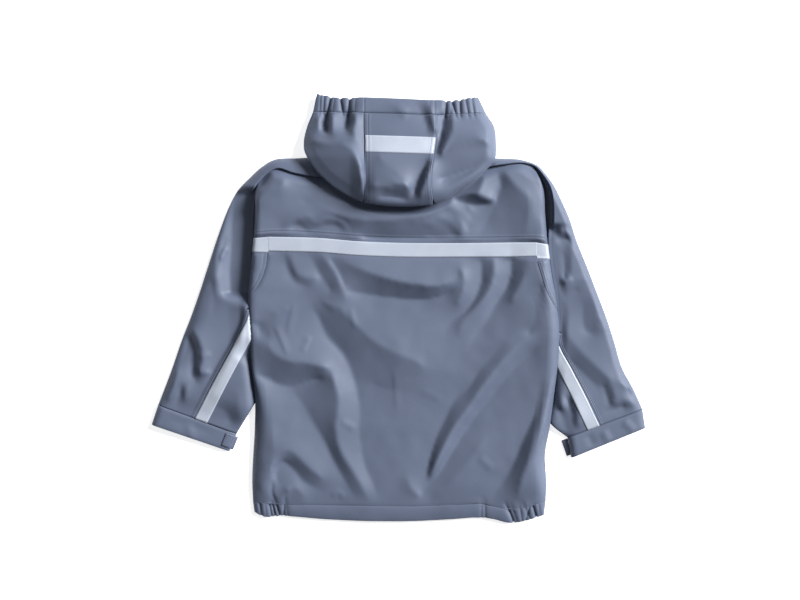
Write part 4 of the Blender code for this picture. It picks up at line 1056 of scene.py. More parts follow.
# %% Make the yoke
across = crowded(150)
down = stations_mm(100, (0, 14, 1.4), (14, 86, 2.4), (86, 100, 0.7))
sides = {side: edge_of(side_line(side, YOKE_SIDE_TOP[side], YOKE_SEAM_ENDS[side], 6), down)
         for side in SIDES}
plan = patch(edge_of(yoke_edge, across), edge_of(yoke_seam, across), sides["left"], sides["right"])
sheet = points_at(plan, body_height(plan) + allowance(plan, yoke_seam, -1))
lip = sheet[-1:] + (0, -0.35, -0.55), sheet[-1:] + (0, -0.1, -1.15)
yoke = add_cloth("yoke_cloth", np.concatenate([sheet, *lip], 0))
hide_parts("yoke")
print("yoke:", sheet.shape[:2], "points")

# %% [markdown]
# ## Back, with its tape
# The back runs from the yoke seam to the hem. The tape is sewn on its first 20 mm, so it
# shares the back's points, moved off its surface. A tape made on its own would cut into the
# cloth wherever the two grids differ.

# %% Make the back
TAPE_TOP = 0.9  # the tape begins this far below the yoke seam
TAPE_WIDTH = 20.0
TAPE_END = TAPE_TOP + TAPE_WIDTH
BACK_LENGTH = 385.0
HEM_ZONE = 12.0  # finer rows next to the hem's casing
RUN_ON = 16.0  # how far the hem's gathers run on into the back
HEM_DEPTH = 17.0  # depth of the casing, about
UNDER_YOKE = (0, 1.2, -1.0)  # the first row is tucked in under the yoke


def tape_rows(down, length):
    """The rows of a panel that its tape covers."""
    return slice(1, 1 + int(np.argmin(np.abs(down * length - TAPE_END))))


def below_tape(plan, side, gap, fade):
    """0 down to some way below the tape's level at a side, then 1."""
    return ease((YOKE_SEAM_ENDS[side] - gap - plan[..., 1]) / fade)


down = stations_mm(BACK_LENGTH, (0, TAPE_TOP, TAPE_TOP), (TAPE_TOP, TAPE_END, 2.0),
                   (TAPE_END, BACK_LENGTH - HEM_ZONE, 2.3), (BACK_LENGTH - HEM_ZONE, BACK_LENGTH, 1.0))
across = crowded(178)
sides = {}
for side in SIDES:
    armhole = [*ARMHOLE_SEAM[side]]
    sides[side] = edge_of(armhole + side_line(side, armhole[-1][1] - 10, HEM_SEAM_ENDS[side], 9), down)
plan = patch(edge_of(YOKE_SEAM, across), edge_of(hem_seam, across), sides["left"], sides["right"])
hem_y, edge_y = y_on(hem_seam, plan[..., 0]), y_on(HEM_EDGE, plan[..., 0])
z = body_height(plan) + 0.7 * pleats(plan, HEM_PLEATS, edge_y, hem_y, beyond=RUN_ON)
z -= 0.25 * np.exp(-((plan[..., 1] - hem_y - HEM_ROW) / 1.2) ** 2)  # the stitches' groove
for side in SIDES:
    from_seam, _, _ = nearest(plan, trace(ARMHOLE_SEAM[side], np.linspace(0, 1, 40)))
    z -= 0.7 * np.exp(-(from_seam / 1.3) ** 2) * below_tape(plan, side, 24, 4)
back_sheet = points_at(plan, z)
back_sheet[0] += UNDER_YOKE
back = add_cloth("back_cloth", back_sheet)
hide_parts("back")
print("back:", back_sheet.shape[:2], "points")


# %% Make the tape on it
def add_tape(name, sheet, rows=slice(None), columns=slice(None)):
    """Reflective tape on some rows and columns of a panel's points."""
    above = raised(sheet, (WALL + TAPE_WALL) / 2 + 0.05)[rows, columns]
    piece = add_sheet(name, above, TAPE_WALL, [silver_tape])
    return piece


back_tape = add_tape("back_tape_strip", back_sheet, rows=tape_rows(down, BACK_LENGTH))
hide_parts("back_tape")
print("tape rows:", tape_rows(down, BACK_LENGTH))

# %% [markdown]
# ## Underarm pieces
# A strip of each sleeve lies on the body between the armhole seam and the fold at its side. It
# carries the tape on round the side. Below the tape the left strip lies a little lower than the
# back, and the right one a little higher, as the seam's layers fell when the coat was laid out.

# %% Make the underarm pieces
UNDERARM_LENGTH = 88.0
UNDERARM_STEP = {"left": -0.35, "right": 0.35}


def underarm_allowance(places, side):
    """The seam's layers and grooves on the underarm piece's side of the armhole seam."""
    return allowance(places, ARMHOLE_SEAM[side], -OUT[side], 6.0, UNDERARM_STEP[side], UNDERARM_ROWS)


gussets = {}
for side in SIDES:
    seam = [*ARMHOLE_SEAM[side]]
    tip_y = seam[-1][1] + 1
    seam[-1] = (seam[-1][0], tip_y)
    down = stations_mm(UNDERARM_LENGTH, (0, TAPE_TOP, TAPE_TOP), (TAPE_TOP, TAPE_END, 2.0),
                       (TAPE_END, UNDERARM_LENGTH, 2.2))
    fold = side_line(side, YOKE_SEAM_ENDS[side], tip_y, 6)
    first, last = (fold, seam) if side == "left" else (seam, fold)
    stations = crowded(12, 0.1, 5)
    plan = patch(edge_of([first[0], last[0]], stations), edge_of([first[-1], last[-1]], stations),
                 edge_of(first, down), edge_of(last, down))
    z = body_height(plan) + below_tape(plan, side, TAPE_END + 0.6, 3) * underarm_allowance(plan, side)
    sheet = points_at(plan, z)
    sheet[0] += UNDER_YOKE
    tucked = sheet[-1:] + (-0.8 * OUT[side], -3.0, -0.9)
    sheet = np.concatenate([sheet, tucked])
    piece = add_cloth("underarm_cloth_" + side, sheet)
    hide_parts("gusset_" + side)
    strip = add_tape("underarm_tape_strip_" + side, sheet, rows=tape_rows(down, UNDERARM_LENGTH))
    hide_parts("gusset_tape_" + side)
    gussets[side] = (piece, strip)
print("underarm pieces:", len(gussets))

# %% [markdown]
# ## Hem casing
# The hem is turned up over an elastic and stitched down. In the middle it is smooth. At both
# sides the elastic gathers it into sharp pleats, and its edge is slightly scalloped there.

# %% Make the hem casing
HEM_LENGTH = 417  # its gathers end at 58 mm from the left, and begin again at 310 mm
across = np.concatenate([np.arange(0, 58, 1.0), np.linspace(58, 310, 60),
                         np.arange(311, HEM_LENGTH, 1.0), [HEM_LENGTH]]) / HEM_LENGTH
top = straight(hem_seam, across)
bottom = trace(HEM_EDGE, across)
parts = np.array([0, 0.05, 0.1, 0.2, 0.35, 0.5, 0.65, 0.8, 0.9, 1.0])
plan = between(top, bottom, parts[:, None, None])
waves = pleats(plan, HEM_PLEATS, bottom[None, :, 1], top[None, :, 1])
plan[..., 1] -= 0.4 * waves * parts[:, None]
side_reach = np.minimum(plan[..., 0] - top[0, 0], top[-1, 0] - plan[..., 0])
plump = 1.1 * np.sin(np.pi * parts)[:, None] ** 0.7
z = body_height(plan, ()) + (waves + plump) * ease(side_reach / 8) + 0.15 * unevenness(plan, 14, 8)
outer = points_at(plan, z)
hem_casing = add_cloth("hem_casing_cloth", turned_under(outer, 2.0))
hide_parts("hem_casing")
print("hem casing:", outer.shape[:2], "points")

# %% [markdown]
# ## Fronts
# The fronts lie on the floor and lap at the centre. Each has a strip that reaches up to the
# hood. They are hidden from above, so they get only a few soft troughs, seen from below.

# %% Tables of the fronts
FRONT_TOP = {
    "left": ((-194, 199), (-180, 209), (-147, 212), (-111, 213.5), (-87, 214), (-79, 226.4),
             (-48, 226.4), (-38, 210), (-22, 190), (0, 177), (20, 173)),
    "right": ((197, 202), (182, 210), (144, 212), (111, 213.5), (91, 214), (83, 226.4),
              (49, 226.4), (38, 210), (22, 190), (0, 177), (-20, 173)),
}
FRONT_HEM_Y = {"left": -291.0, "right": -294.0}
FRONT_HEM_CENTRE_Y = -301.0
LAP_FLAT = 30.0
LAP_SLOPE = 20.0
FRONT_CREASES = {
    "left": (Crease(((-150, 120), (-120, 60), (-110, -10)), 14, 9, 2.0, 2),
             Crease(((-60, -40), (-80, -120), (-120, -190)), 10, 16, 2.2, 3),
             Crease(((-170, -200), (-130, -240), (-110, -280)), 9, 12, 1.8, 2)),
    "right": (Crease(((150, 100), (110, 30), (100, -40)), 9, 15, 2.1, 2),
              Crease(((60, -90), (90, -150), (140, -200)), 14, 10, 2.0, 3),
              Crease(((180, -210), (140, -250), (120, -285)), 12, 9, 1.8, 2)),
}
print("fronts:", {side: len(FRONT_CREASES[side]) for side in SIDES}, "troughs")

# %% [markdown]
# Each front is one grid between four edges. Its top edge has corners, so its stations take in
# every corner and the edges run straight between them. Near the centre both rise from the
# floor: the left front by one layer, over the snap caps, and the right one by two, over the left.

# %% Make the fronts
fronts = {}
for side in SIDES:
    marks = run_of(FRONT_TOP[side])
    across = np.sort(np.unique(np.concatenate([marks, np.linspace(0, 1, 70)])))
    down = np.linspace(0, 1, 150)
    low = side_line(side, UNDERARM_Y - 6, FRONT_HEM_Y[side], 8)
    outer_edge = [FRONT_TOP[side][0], (ARMHOLE_X[side], UNDERARM_Y), *low]
    centre = [FRONT_TOP[side][-1], (FRONT_TOP[side][-1][0], FRONT_HEM_CENTRE_Y)]
    hem = [low[-1], (low[-1][0] * 0.75, -296), centre[-1]]
    plan = patch(edge_of(FRONT_TOP[side], across, False), edge_of(hem, across),
                 edge_of(outer_edge, down, False), edge_of(centre, down, False))
    inwards = -OUT[side] * plan[..., 0]
    step = LAYER if side == "left" else 2 * LAYER
    lap = step * ease((inwards + LAP_FLAT + LAP_SLOPE) / LAP_SLOPE)
    rows_in = np.minimum(np.arange(len(down)), np.arange(len(down))[::-1])[:, None]
    z = np.maximum(FLOOR + OVER_SLEEVE * lift(plan), FLOOR + lap)
    z = z + relief(plan, FRONT_CREASES[side]) * ease(rows_in / 10)
    piece = add_cloth("front_cloth_" + side, points_at(plan, z), outside_up=False)
    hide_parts("front_" + side)
    fronts[side] = piece
print("fronts:", plan.shape[:2], "points each")

# %% [markdown]
# ## Sleeves
# A sleeve is a flattened tube. Its upper half arches from the outer fold to the deep fold beside
# the body, where the seam dives under. Its under half, with the tape, is the strip that shows
# between that seam and the inner edge. Both read one height rule, so they meet along the
# seam. The front half lies on the floor.

# %% Ridges, hollows and creases of the sleeves
SLEEVE_LINES = {
    "left": (
        ((-309, -35, -1.2), (-297, -47, -3.6), (-292, -72, -4.2), (-292, -96, -3.6), (-284, -109, -1.8)),
        ((-294, -27, 3), (-282, -47, 4.2), (-277, -72, 4.2), (-280, -90, 3.6), (-263, -93, 1.8)),
        ((-232, 123, 1), (-239, 95, 1.4), (-247, 76, 1.4), (-254, 63, 1)),
        ((-247, 101, -0.6), (-254, 79, -1.2), (-258, 64, -0.6)),
        ((-263, 49, 1), (-254, 39, 1.3), (-249, 15, 1.2)),
        ((-266, 39, -1.2), (-263, 15, -1.8), (-263, -10, -1.2)),
        ((-316, -84, 3), (-320, -109, 3.6), (-329, -130, 2.4)),
        ((-308, -109, -1.2), (-312, -127, -1.2), (-319, -143, -0.6)),
        ((-300, -112, 1.8), (-303, -130, 1.8)),
        ((-234, -107, 1.2), (-228, -124, 2.4), (-225, -146, 2.4), (-220, -164, 1.2)),
        ((-263, -140, -1.2), (-248, -146, -1.8), (-238, -164, -1.8)),
        ((-217, 7, -3), (-224, -15, -4.2), (-239, -47, -3.6), (-255, -74, -2.4), (-271, -103, -1.8),
         (-286, -130, -1)),
        ((-207, -7, 2.4), (-214, -24, 3), (-226, -49, 2.9), (-239, -75, 2.6), (-252, -102, 2.4),
         (-266, -128, 1.2)),
    ),
    "right": (
        ((215, 95, -1.8), (228, 99, -3), (246, 96, -2.2)),
        ((222, 110, 3), (237, 110, 3.6), (251, 103, 3.6)),
        ((228, 89, -0.4), (235, 70, -1.1), (236, 52, -1.1), (235, 39, -0.4)),
        ((243, 92, 1.2), (247, 70, 1.6), (247, 52, 1.9), (249, 43, 2.4), (274, 42, 1.9)),
        ((214, 53, 1.2), (228, 39, 4.2), (246, 42, 4.8)),
        ((225, 27, -1), (236, 15, -1.2), (256, 27, -0.7)),
        ((260, 12, -0.6), (262, -10, -1.3), (267, -32, -1.3), (279, -37, -0.6)),
        ((278, 27, 1.2), (281, 2, 1.7), (282, -19, 1.7), (286, -28, 1.9), (300, -28, 2.2)),
        ((228, -4, 1.8), (240, -38, 2.6), (262, -64, 3.6), (283, -84, 3.8), (300, -103, 3.1),
         (302, -112, 1.8)),
        ((240, -72, -0.7), (265, -96, -1), (290, -124, -1.2), (293, -137, -1.2)),
        ((303, -107, 2.4), (308, -124, 2.6), (313, -137, 1.8)),
        ((290, -109, -1.2), (299, -137, -2.4)),
        ((320, -96, -1.8), (330, -118, -2.4), (339, -127, -1.2)),
        ((308, -103, 2.4), (320, -109, 2.4), (339, -117, 1.8)),
        ((294, -147, -1.8), (308, -144, -2.4), (323, -140, -2.4)),
        ((302, -134, 1.8), (320, -130, 2.2), (339, -140, 1.8)),
        ((220, -112, 3.6), (228, -124, 4.2), (234, -143, 3.6)),
        ((225, -140, -3), (231, -150, -3.6), (239, -174, -2.4)),
        ((239, -124, -1.2), (246, -146, -1.8), (248, -167, -1.8)),
        ((246, -124, 2.4), (254, -146, 3), (256, -171, 2.4)),
    ),
}
SLEEVE_CREASES = {
    "left": (
        Crease(((-242, 88), (-251, 77), (-253, 66)), 5, 4, 1, 1),
        Crease(((-307, 12), (-305, -17), (-307, -40)), 6, 6, 0.8, 2),
        Crease(((-288, -62), (-276, -68), (-265, -62)), 5, 6, 0.9, 1.5),
    ),
    "right": (
        Crease(((238, 108), (246, 100), (255, 85)), 5, 5, 1, 1.5),
        Crease(((280, -11), (292, -20), (302, -31)), 5, 6, 1, 1.2),
    ),
}
print("sleeves:", {side: len(SLEEVE_LINES[side]) for side in SIDES}, "large folds")

# %% [markdown]
# A sleeve's height is an arch between two lines. It rolls up from the outer fold. On the other
# side it dips beside the body, in a wide flat gutter at the shoulder and a narrow one lower
# down. At the very top the cloth stands over the yoke as a fold instead. The values below are
# where along the sleeve each of these begins and ends, and how wide it is.

# %% Lines of a sleeve
SLEEVE_TOP = 13.5
CUFF_TOP = 6.8
SLEEVE_ROLL = {"left": 24.0, "right": 11.0}
CUFF_ROLL = 14.0
FOLD_TOP = 19.0             # crest of the fold that stands over the yoke at the shoulder
FOLD_END = {"left": 160.0, "right": 108.0}
DIP_END = {"left": 0.0, "right": 100.0}         # above this level the gutter is wide
DIP_FLAT = {"left": 21.0, "right": 2.0}         # its flat bottom
DIP_WIDTH = {"left": 24.0, "right": 17.0}       # its slope up to the arch
DIP_ROLL = {"left": 30.0, "right": 12.0}        # the slope of the narrow gutter below
END_ROLL = 15.0             # the same near the cuff
DIP_NARROW = {"left": -83.0, "right": -115.0}   # where the gutter runs out towards the cuff
DIP_FILL = {"left": 1.3, "right": 0.9}          # how full of cloth the narrow gutter is
BESIDE_BODY = 1.0


def sleeve_lines(side):
    """The sleeve's outer fold, and the line where it dips beside the body or folds under."""
    outer = [(row.outer_x, row.outer_y) for row in UPPER_SLEEVE[side]]
    start = UNDER_START_Y[side]
    gutter = [(row.inner_x, row.inner_y) for row in UPPER_SLEEVE[side] if row.inner_y > start + 8]
    exit_y = SLEEVE_INNER[side][-2][1] - 4
    beside = [(x + OUT[side] * BESIDE_BODY, y) for x, y in side_line(side, start, exit_y, 5)]
    count = np.linspace(0, 1, 90)
    return trace(outer, count), trace(gutter + beside + [SLEEVE_INNER[side][-1]], count)


def sleeve_outline(side):
    outer, inner = sleeve_lines(side)
    return np.vstack([outer, CUFF_CORNERS[side], inner[::-1]])


sleeve_spans = {side: spanned(SLEEVE_LINES[side], sleeve_outline(side)) for side in SIDES}
print("sleeve lattices:", [spans[1].shape for spans in sleeve_spans.values()])


# %% Height of a sleeve
def shoulder_fold(places, side):
    """1 where the sleeve stands over the yoke as a fold, 0 where it dips beside the body."""
    return ease((places[..., 1] - FOLD_END[side]) / 14)


def cuff_lean(places, side):
    """A cuff lies a little higher at its -X end than at its +X end."""
    low, high = {"left": (-349, -238), "right": (246, 350)}[side]
    return 5.0 * (1 - np.clip((places[..., 0] - low) / (high - low), 0, 1))


def dip_of(places, side, in_reach):
    """The arch's inner slope: 0 in the gutter beside the body, 1 where the sleeve is full."""
    y = places[..., 1]
    wide = ease((y - DIP_END[side]) / 24)
    width = between(END_ROLL, DIP_ROLL[side], ease((y - DIP_NARROW[side]) / 20))
    dip = roll(in_reach / width) * (1 - wide)
    dip = dip + ease((in_reach - DIP_FLAT[side]) / DIP_WIDTH[side]) * wide
    body_left, body_right = read_table(BODY, y, "left", "right")
    under_body = np.minimum(places[..., 0] - body_left, body_right - places[..., 0])
    fill = DIP_FILL[side] * ease((y - DIP_NARROW[side]) / 45) * (1 - wide)
    fill = fill * (1 - ease((under_body - 1) / 3))
    dip = between(dip, ease(in_reach / width), np.minimum(fill, 1))
    return between(dip, 1, fill)


def sleeve_height(places, side):
    """A sleeve's upper layer: an arch between its outer fold and the dip beside the body."""
    outer, inner = sleeve_lines(side)
    out_reach, _, _ = nearest(places, outer)
    in_reach, _, _ = nearest(places, inner)
    in_reach = np.where(inside(places, sleeve_outline(side)), in_reach, 0)
    cuff_reach, _, _ = nearest(places, np.array([outer[-1], inner[-1]]))
    from_cuff = ease(cuff_reach / 40)
    fold = shoulder_fold(places, side)
    cuff_top = CUFF_TOP + cuff_lean(places, side)
    top = between(cuff_top, SLEEVE_TOP, ease(cuff_reach / 45)) + (FOLD_TOP - SLEEVE_TOP) * fold
    base = FLOOR + 1.0
    out_roll = between(CUFF_ROLL, SLEEVE_ROLL[side], from_cuff)
    arch = roll(out_reach / out_roll) * between(dip_of(places, side, in_reach), 1, fold)
    lean = np.clip((out_reach if side == "left" else in_reach) / 75, 0, 1)
    arch = arch * (1 - 0.3 * (1 - lean) * ease((20 - places[..., 1]) / 60))
    free = ease(out_reach / 12) * ease(in_reach / 12)
    free = free * (0.25 + 0.75 * ease(cuff_reach / 16)) * (1 - fold)
    folds = relief(places, SLEEVE_CREASES[side]) + 0.5 * unevenness(places, 26, 21)
    folds = folds + read_lattice(sleeve_spans[side], places)
    return np.minimum(between(base, top, arch) + folds * free, headroom(places))


# %% [markdown]
# The upper half is a row of strips across the sleeve. Its inner edge is carried on out of
# sight: at the shoulder it turns down and back under the standing fold, and beside the body it
# runs on level below the body's rolled side, so no gap shows from a low angle.


# %% Make the sleeves' upper halves
def strips_between(rows, across, down):
    """Places between the outer and inner ends of a table's sections."""
    ends = np.array([[row.outer_x, row.outer_y, row.inner_x, row.inner_y] for row in rows], float)
    middle = (ends[:, :2] + ends[:, 2:]) / 2
    ends = smooth(run_of(middle), ends, down)
    return between(ends[:, None, :2], ends[:, None, 2:], across[None, :, None])


def folded_in(sheet, side):
    """The sheet with its inner edge carried on: down under the shoulder's fold, or level."""
    rim = sheet[:, -1:]
    way = rim[..., :2] - sheet[:, -4:-3, :2]
    way = way / np.linalg.norm(way, axis=-1)[..., None]
    fold = shoulder_fold(rim, side)
    under = np.array([0.7, 1.0, 0.9, 0.5, 0.4, 1.2, 3.6, 6.6])
    level = np.array([0.6, 1.2, 1.9, 2.6, 3.4, 4.4, 5.6, 7.0])
    drop = np.array([0.95, 0.84, 0.66, 0.46, 0.28, 0.16, 0.12, 0.11])
    further = fold * under + (1 - fold) * level
    z = rim[..., 2] * between(1, drop, fold) - 0.3 * (1 - fold) * ease(level / 2.4)
    return np.concatenate([sheet, points_at(rim[..., :2] + way * further[..., None], z)], 1)


TUCK = 8  # rows that folded_in adds
upper_sleeves = {}
down = np.linspace(0, 1, 200)
for side in SIDES:
    seam = strips_between(UPPER_SLEEVE[side], np.array([1.0]), down)[:, 0]
    plan = strips_between(UPPER_SLEEVE[side], crowded(34, 0.08, 7), down)
    sheet = points_at(plan, sleeve_height(plan, side))
    last = int(np.argmax(seam[:, 1] < UNDER_START_Y[side] + 0.5))
    whole = folded_in(sheet, side)
    tail = np.broadcast_to(sheet[last:, -1:], (len(sheet) - last, TUCK, 3)) + (0, 0, -0.02)
    whole[last:, -TUCK:] = tail - np.arange(1, TUCK + 1)[None, :, None] * (0, 0, 0.15)
    piece = add_cloth("upper_sleeve_cloth_" + side, whole)
    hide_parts("upper_sleeve_" + side)
    upper_sleeves[side] = (piece, seam)
print("upper sleeves:", whole.shape[:2], "points each")

# %% [markdown]
# The under half starts along the same seam, so it takes the seam's places from the upper half.
# Its columns are at fixed distances from the seam up to the tape's far edge, because the tape
# keeps its width along the whole sleeve, and the rest spreads out to the inner edge.

# %% Make their under halves and tapes
SLEEVE_TAPE_START = 6.6
SLEEVE_TAPE_WIDTH = 18.5


def sewn_sleeve_height(places, seam, side):
    """A sleeve's height with the seam's layers and grooves, which fade where it nears the floor."""
    z = sleeve_height(places, side)
    return z + allowance(places, seam, OUT[side], 5.6, 0.4, SLEEVE_ROWS) * ease((z - 3) / 3)


under_sleeves = {}
for side in SIDES:
    seam = upper_sleeves[side][1]
    seam = seam[int(np.argmax(seam[:, 1] < UNDER_START_Y[side])):, None]
    hidden = trace(SLEEVE_INNER[side], run_of(seam[:, 0]))[:, None]
    length = np.hypot(*(hidden - seam)[:, 0].T)[:, None]
    before = np.array([0, 0.5, 1.0, 1.5, 2.1, 2.7, 3.4, 4.1, 4.8, 5.5, 6.1])
    taped = SLEEVE_TAPE_START + SLEEVE_TAPE_WIDTH * np.linspace(0, 1, 10)
    past = between(taped[-1], length, np.linspace(0, 1, 17)[None, 1:])
    fixed = np.concatenate([before, taped])
    fixed = np.broadcast_to(fixed, (len(length), len(fixed)))
    plan = between(seam, hidden, (np.concatenate([fixed, past], 1) / length)[..., None])
    sheet = points_at(plan, sewn_sleeve_height(plan, seam[:, 0], side))
    piece = add_cloth("under_sleeve_cloth_" + side, sheet)
    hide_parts("under_sleeve_" + side)
    tape_columns = slice(len(before), len(before) + len(taped))
    strip = add_tape("sleeve_tape_strip_" + side, sheet, columns=tape_columns)
    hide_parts("sleeve_tape_" + side)
    under_sleeves[side] = (piece, strip, seam[:, 0])
print("under sleeves:", sheet.shape[:2], "points each")

# %% [markdown]
# The front half lies flat on the floor, below all this, from the armhole to the cuff.

# %% Make the sleeves' front halves
sleeve_fronts = {}
for side in SIDES:
    x, top = ARMHOLE_X[side], ARMHOLE_TOP[side]
    outer = [(x + OUT[side], top - 1)]
    outer += [(row.outer_x, row.outer_y) for row in UPPER_SLEEVE[side] if row.outer_y < top - 4]
    inner = [(x, top - 6), (x, UNDERARM_Y), *SLEEVE_INNER[side]]
    down = np.linspace(0, 1, 110)
    outer, inner = trace(outer, down)[:, None], straight(inner, down)[:, None]
    plan = between(outer, inner, np.linspace(0.004, 1, 32)[None, :, None])
    sheet = points_at(plan, np.full(plan.shape[:2], FLOOR))
    piece = add_cloth("sleeve_front_cloth_" + side, sheet, outside_up=False)
    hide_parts("sleeve_front_" + side)
    sleeve_fronts[side] = piece
print("sleeve fronts:", plan.shape[:2], "points each")

# %% [markdown]
# ## Cuffs
# A cuff is a short tube of doubled cloth, pressed flat. It is a closed ring of points, turned
# in at its mouth. Each row of the ring goes out along the upper wall and comes back along the
# lower one, which lies on the floor.

# %% Form of a cuff
CUFF_END = 3.0  # height of the folded ends, between both walls
CUFF_DEPTH = 27.0  # from the sleeve's seam to the mouth


def cuff_ends(side):
    """A cuff's corners: upper outer, upper inner, lower outer, lower inner."""
    outer = UPPER_SLEEVE[side][-1]
    low_outer, low_inner = CUFF_CORNERS[side]
    corners = ((outer.outer_x, outer.outer_y), SLEEVE_INNER[side][-1], low_outer, low_inner)
    return [np.array(corner, float) for corner in corners]


def cuff_wall(reach, upper, lean=0.0):
    """Height of a cuff's wall at a distance from the nearer end of its flattened ring."""
    if upper:
        return CUFF_END + (CUFF_TOP + lean - CUFF_END) * roll(reach / 10)
    return CUFF_END - (CUFF_END - FLOOR) * roll(reach / 4)


def end_reach(stations, first, last):
    """Distance of a cuff's stations from the nearer of its two ends."""
    return np.minimum(stations, 1 - stations) * math.dist(first, last)


CUFF_CREASES = {
    "left": (Crease(((-300, -160), (-296, -176), (-290, -190)), 7, 7, 0.8, 2),
             Crease(((-330, -158), (-300, -166), (-262, -178)), 8, 6, -0.6, 2)),
    "right": (Crease(((290, -172), (295, -182), (300, -192)), 7, 7, 1.2, 1.5),
              Crease(((318, -158), (328, -168), (338, -178)), 7, 7, 1.2, 1.5),
              Crease(((268, -178), (274, -190), (276, -198)), 8, 7, -1.0, 1.5)),
}

# %% Make the cuffs
cuffs = {}
stations = crowded(48, 0.08, 7)
for side in SIDES:
    top_outer, top_inner, low_outer, low_inner = cuff_ends(side)
    rows = []
    for part in np.linspace(0.0, 1.0, 16):
        first, last = between(top_outer, low_outer, part), between(top_inner, low_inner, part)
        reach = end_reach(stations, first, last)
        plan = between(first, last, stations[:, None])
        from_seam = part * CUFF_DEPTH
        dents = -0.8 * np.exp(-from_seam ** 2) - 0.3 * np.exp(-((from_seam - CUFF_ROW) / 0.8) ** 2)
        dents = dents - 0.5 * ease((part - 0.9) / 0.1)  # and the mouth's pressed edge
        bumps = relief(plan, CUFF_CREASES[side]) * ease(reach / 10) + 0.12 * unevenness(plan, 12, 31)
        wall = cuff_wall(reach, True, cuff_lean(plan, side))
        upper = points_at(plan, wall + dents * ease(reach / 6) + bumps * ease(reach / 6))
        lower = points_at(plan, cuff_wall(reach, False))
        rows.append(np.vstack([upper, lower[-2:0:-1]]))
    ring = np.array(rows)
    piece = add_cloth("cuff_cloth_" + side, turned_under(ring, 1.2, closed=True), closed=True)
    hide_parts("cuff_" + side)
    cuffs[side] = piece
print("cuffs:", ring.shape[:2], "points each")

# %% [markdown]
# A small tab closes each cuff. On the left it is folded onto the cuff's inner end and bends
# down over it. On the right it stands past the end and narrows a little towards the mouth.

# %% Make the cuff tabs
TAB_OVER_CUFF = 1.15
Tab = namedtuple("Tab", "start taper reaches")  # reaches run from the cuff's end, in is +
TABS = {
    "left": Tab(0.13, 0, np.array([14, 12, 9.5, 7, 5, 3, 1.5, 0, -1.5, -3, -4.2])),
    "right": Tab(0.04, 0.45, np.array([-0.6, -2.0, -4.0, -6.0, -8.0, -10.0])),
}
RIGHT_TAB_HEIGHTS = np.array([3.4, 3.2, 2.9, 2.5, 2.1, 1.8])  # at each of its reaches


def way_out(side):
    """The direction along a cuff's seam, from its outer end towards its inner one."""
    top_outer, top_inner, _, _ = cuff_ends(side)
    return (top_inner - top_outer) / math.dist(top_inner, top_outer)


def over_end(reaches):
    """Height of the left tab: on the cuff's upper wall, and bent down past its end."""
    past = np.maximum(2 - reaches, 0)
    return cuff_wall(np.maximum(reaches, 0), True) + TAB_OVER_CUFF - 0.21 * past ** 1.1


tabs = {}
for side in SIDES:
    _, top_inner, _, low_inner = cuff_ends(side)
    tab, out = TABS[side], way_out(side)
    z = over_end(tab.reaches) if side == "left" else RIGHT_TAB_HEIGHTS
    parts = np.linspace(tab.start, 0.88, 12)[:, None, None]
    plan = between(top_inner, low_inner, parts) - out * tab.reaches[:, None] * (1 - tab.taper * parts)
    round_off = np.abs(np.linspace(-1, 1, 12))[:, None] ** 6
    sheet = points_at(plan, np.broadcast_to(z, plan.shape[:2]) - 0.3 * round_off)
    piece = add_cloth("cuff_tab_cloth_" + side, sheet)
    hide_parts("cuff_tab_" + side)
    tabs[side] = piece
print("tabs:", plan.shape[:2], "points on the right one")

# %% [markdown]
# ## Hood
# Each side panel is made strip by strip: from the centre seam over the top, round the fold and
# back below, so one sheet is both its upper and its under layer. Its first columns sink into
# the seam, where the centre panel is sewn over it.

# %% Make the hood's sides
UPPER_STATIONS = np.concatenate([[0, 0.008, 0.016, 0.026], np.linspace(0.04, 0.9, 52),
                                 [0.925, 0.95, 0.97, 0.985, 0.995, 1]])
UNDER_STATIONS = np.array([0.01, 0.03, 0.06, 0.1, 0.15, 0.22, 0.3, 0.4, 0.5, 0.6, 0.7, 0.8, 0.9, 1])
SIDE_WIDTH = 75.0
hood_sides = {}
for side in SIDES:
    table = np.array([list(row) for row in HOOD_SIDE[side]], float)
    knots = run_of(table[:, 2:4])
    even = np.linspace(0, 1, 72)
    apart = np.abs(even[:, None] - knots).min(1) > 0.004
    down = np.sort(np.concatenate([knots, even[apart]]))
    strips = np.stack([np.interp(down, knots, column) for column in table.T], 1)
    strips[:, 2:4] = smooth(knots, table[:, 2:4], down)
    seam, fold, hidden = strips[:, None, 0:2], strips[:, None, 2:4], strips[:, None, 4:6]
    top_plan = between(seam, fold, UPPER_STATIONS[None, :, None])
    under_plan = between(fold, hidden, UNDER_STATIONS[None, :, None])
    low = between(strips[:, 6:7], strips[:, 7:8], ease(UNDER_STATIONS)[None])
    sink = -0.5 * np.exp(-(UPPER_STATIONS * SIDE_WIDTH / 0.9) ** 2)[None]
    sheet = np.concatenate([points_at(top_plan, hood_top(top_plan) + sink),
                            points_at(under_plan, hood_under(under_plan, low))], 1)
    piece = add_cloth("hood_side_cloth_" + side, sheet)
    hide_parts("hood_side_" + side)
    hood_sides[side] = piece
print("hood sides:", sheet.shape[:2], "points each")

# %% [markdown]
# The centre panel does the same the other way round, from the brim over the crown and back
# below to the nape. Its rows fall on both edges of the taped band, because the band is made
# from the panel's own points. Along both seams it stands a little higher, over the turned-in
# layers, with a groove at each stitch row.

# %% Rows of the hood's centre
HOOD_TAPE_START = 32.5  # from the brim's seam
HOOD_TAPE_WIDTH = 24.0
NAPE_REACH = 44.0


def hood_seam(side, y):
    """The centre panel's seam at a level."""
    rows = HOOD_SIDE[side][::-1]
    return np.interp(y, [row.seam_y for row in rows], [row.seam_x for row in rows])


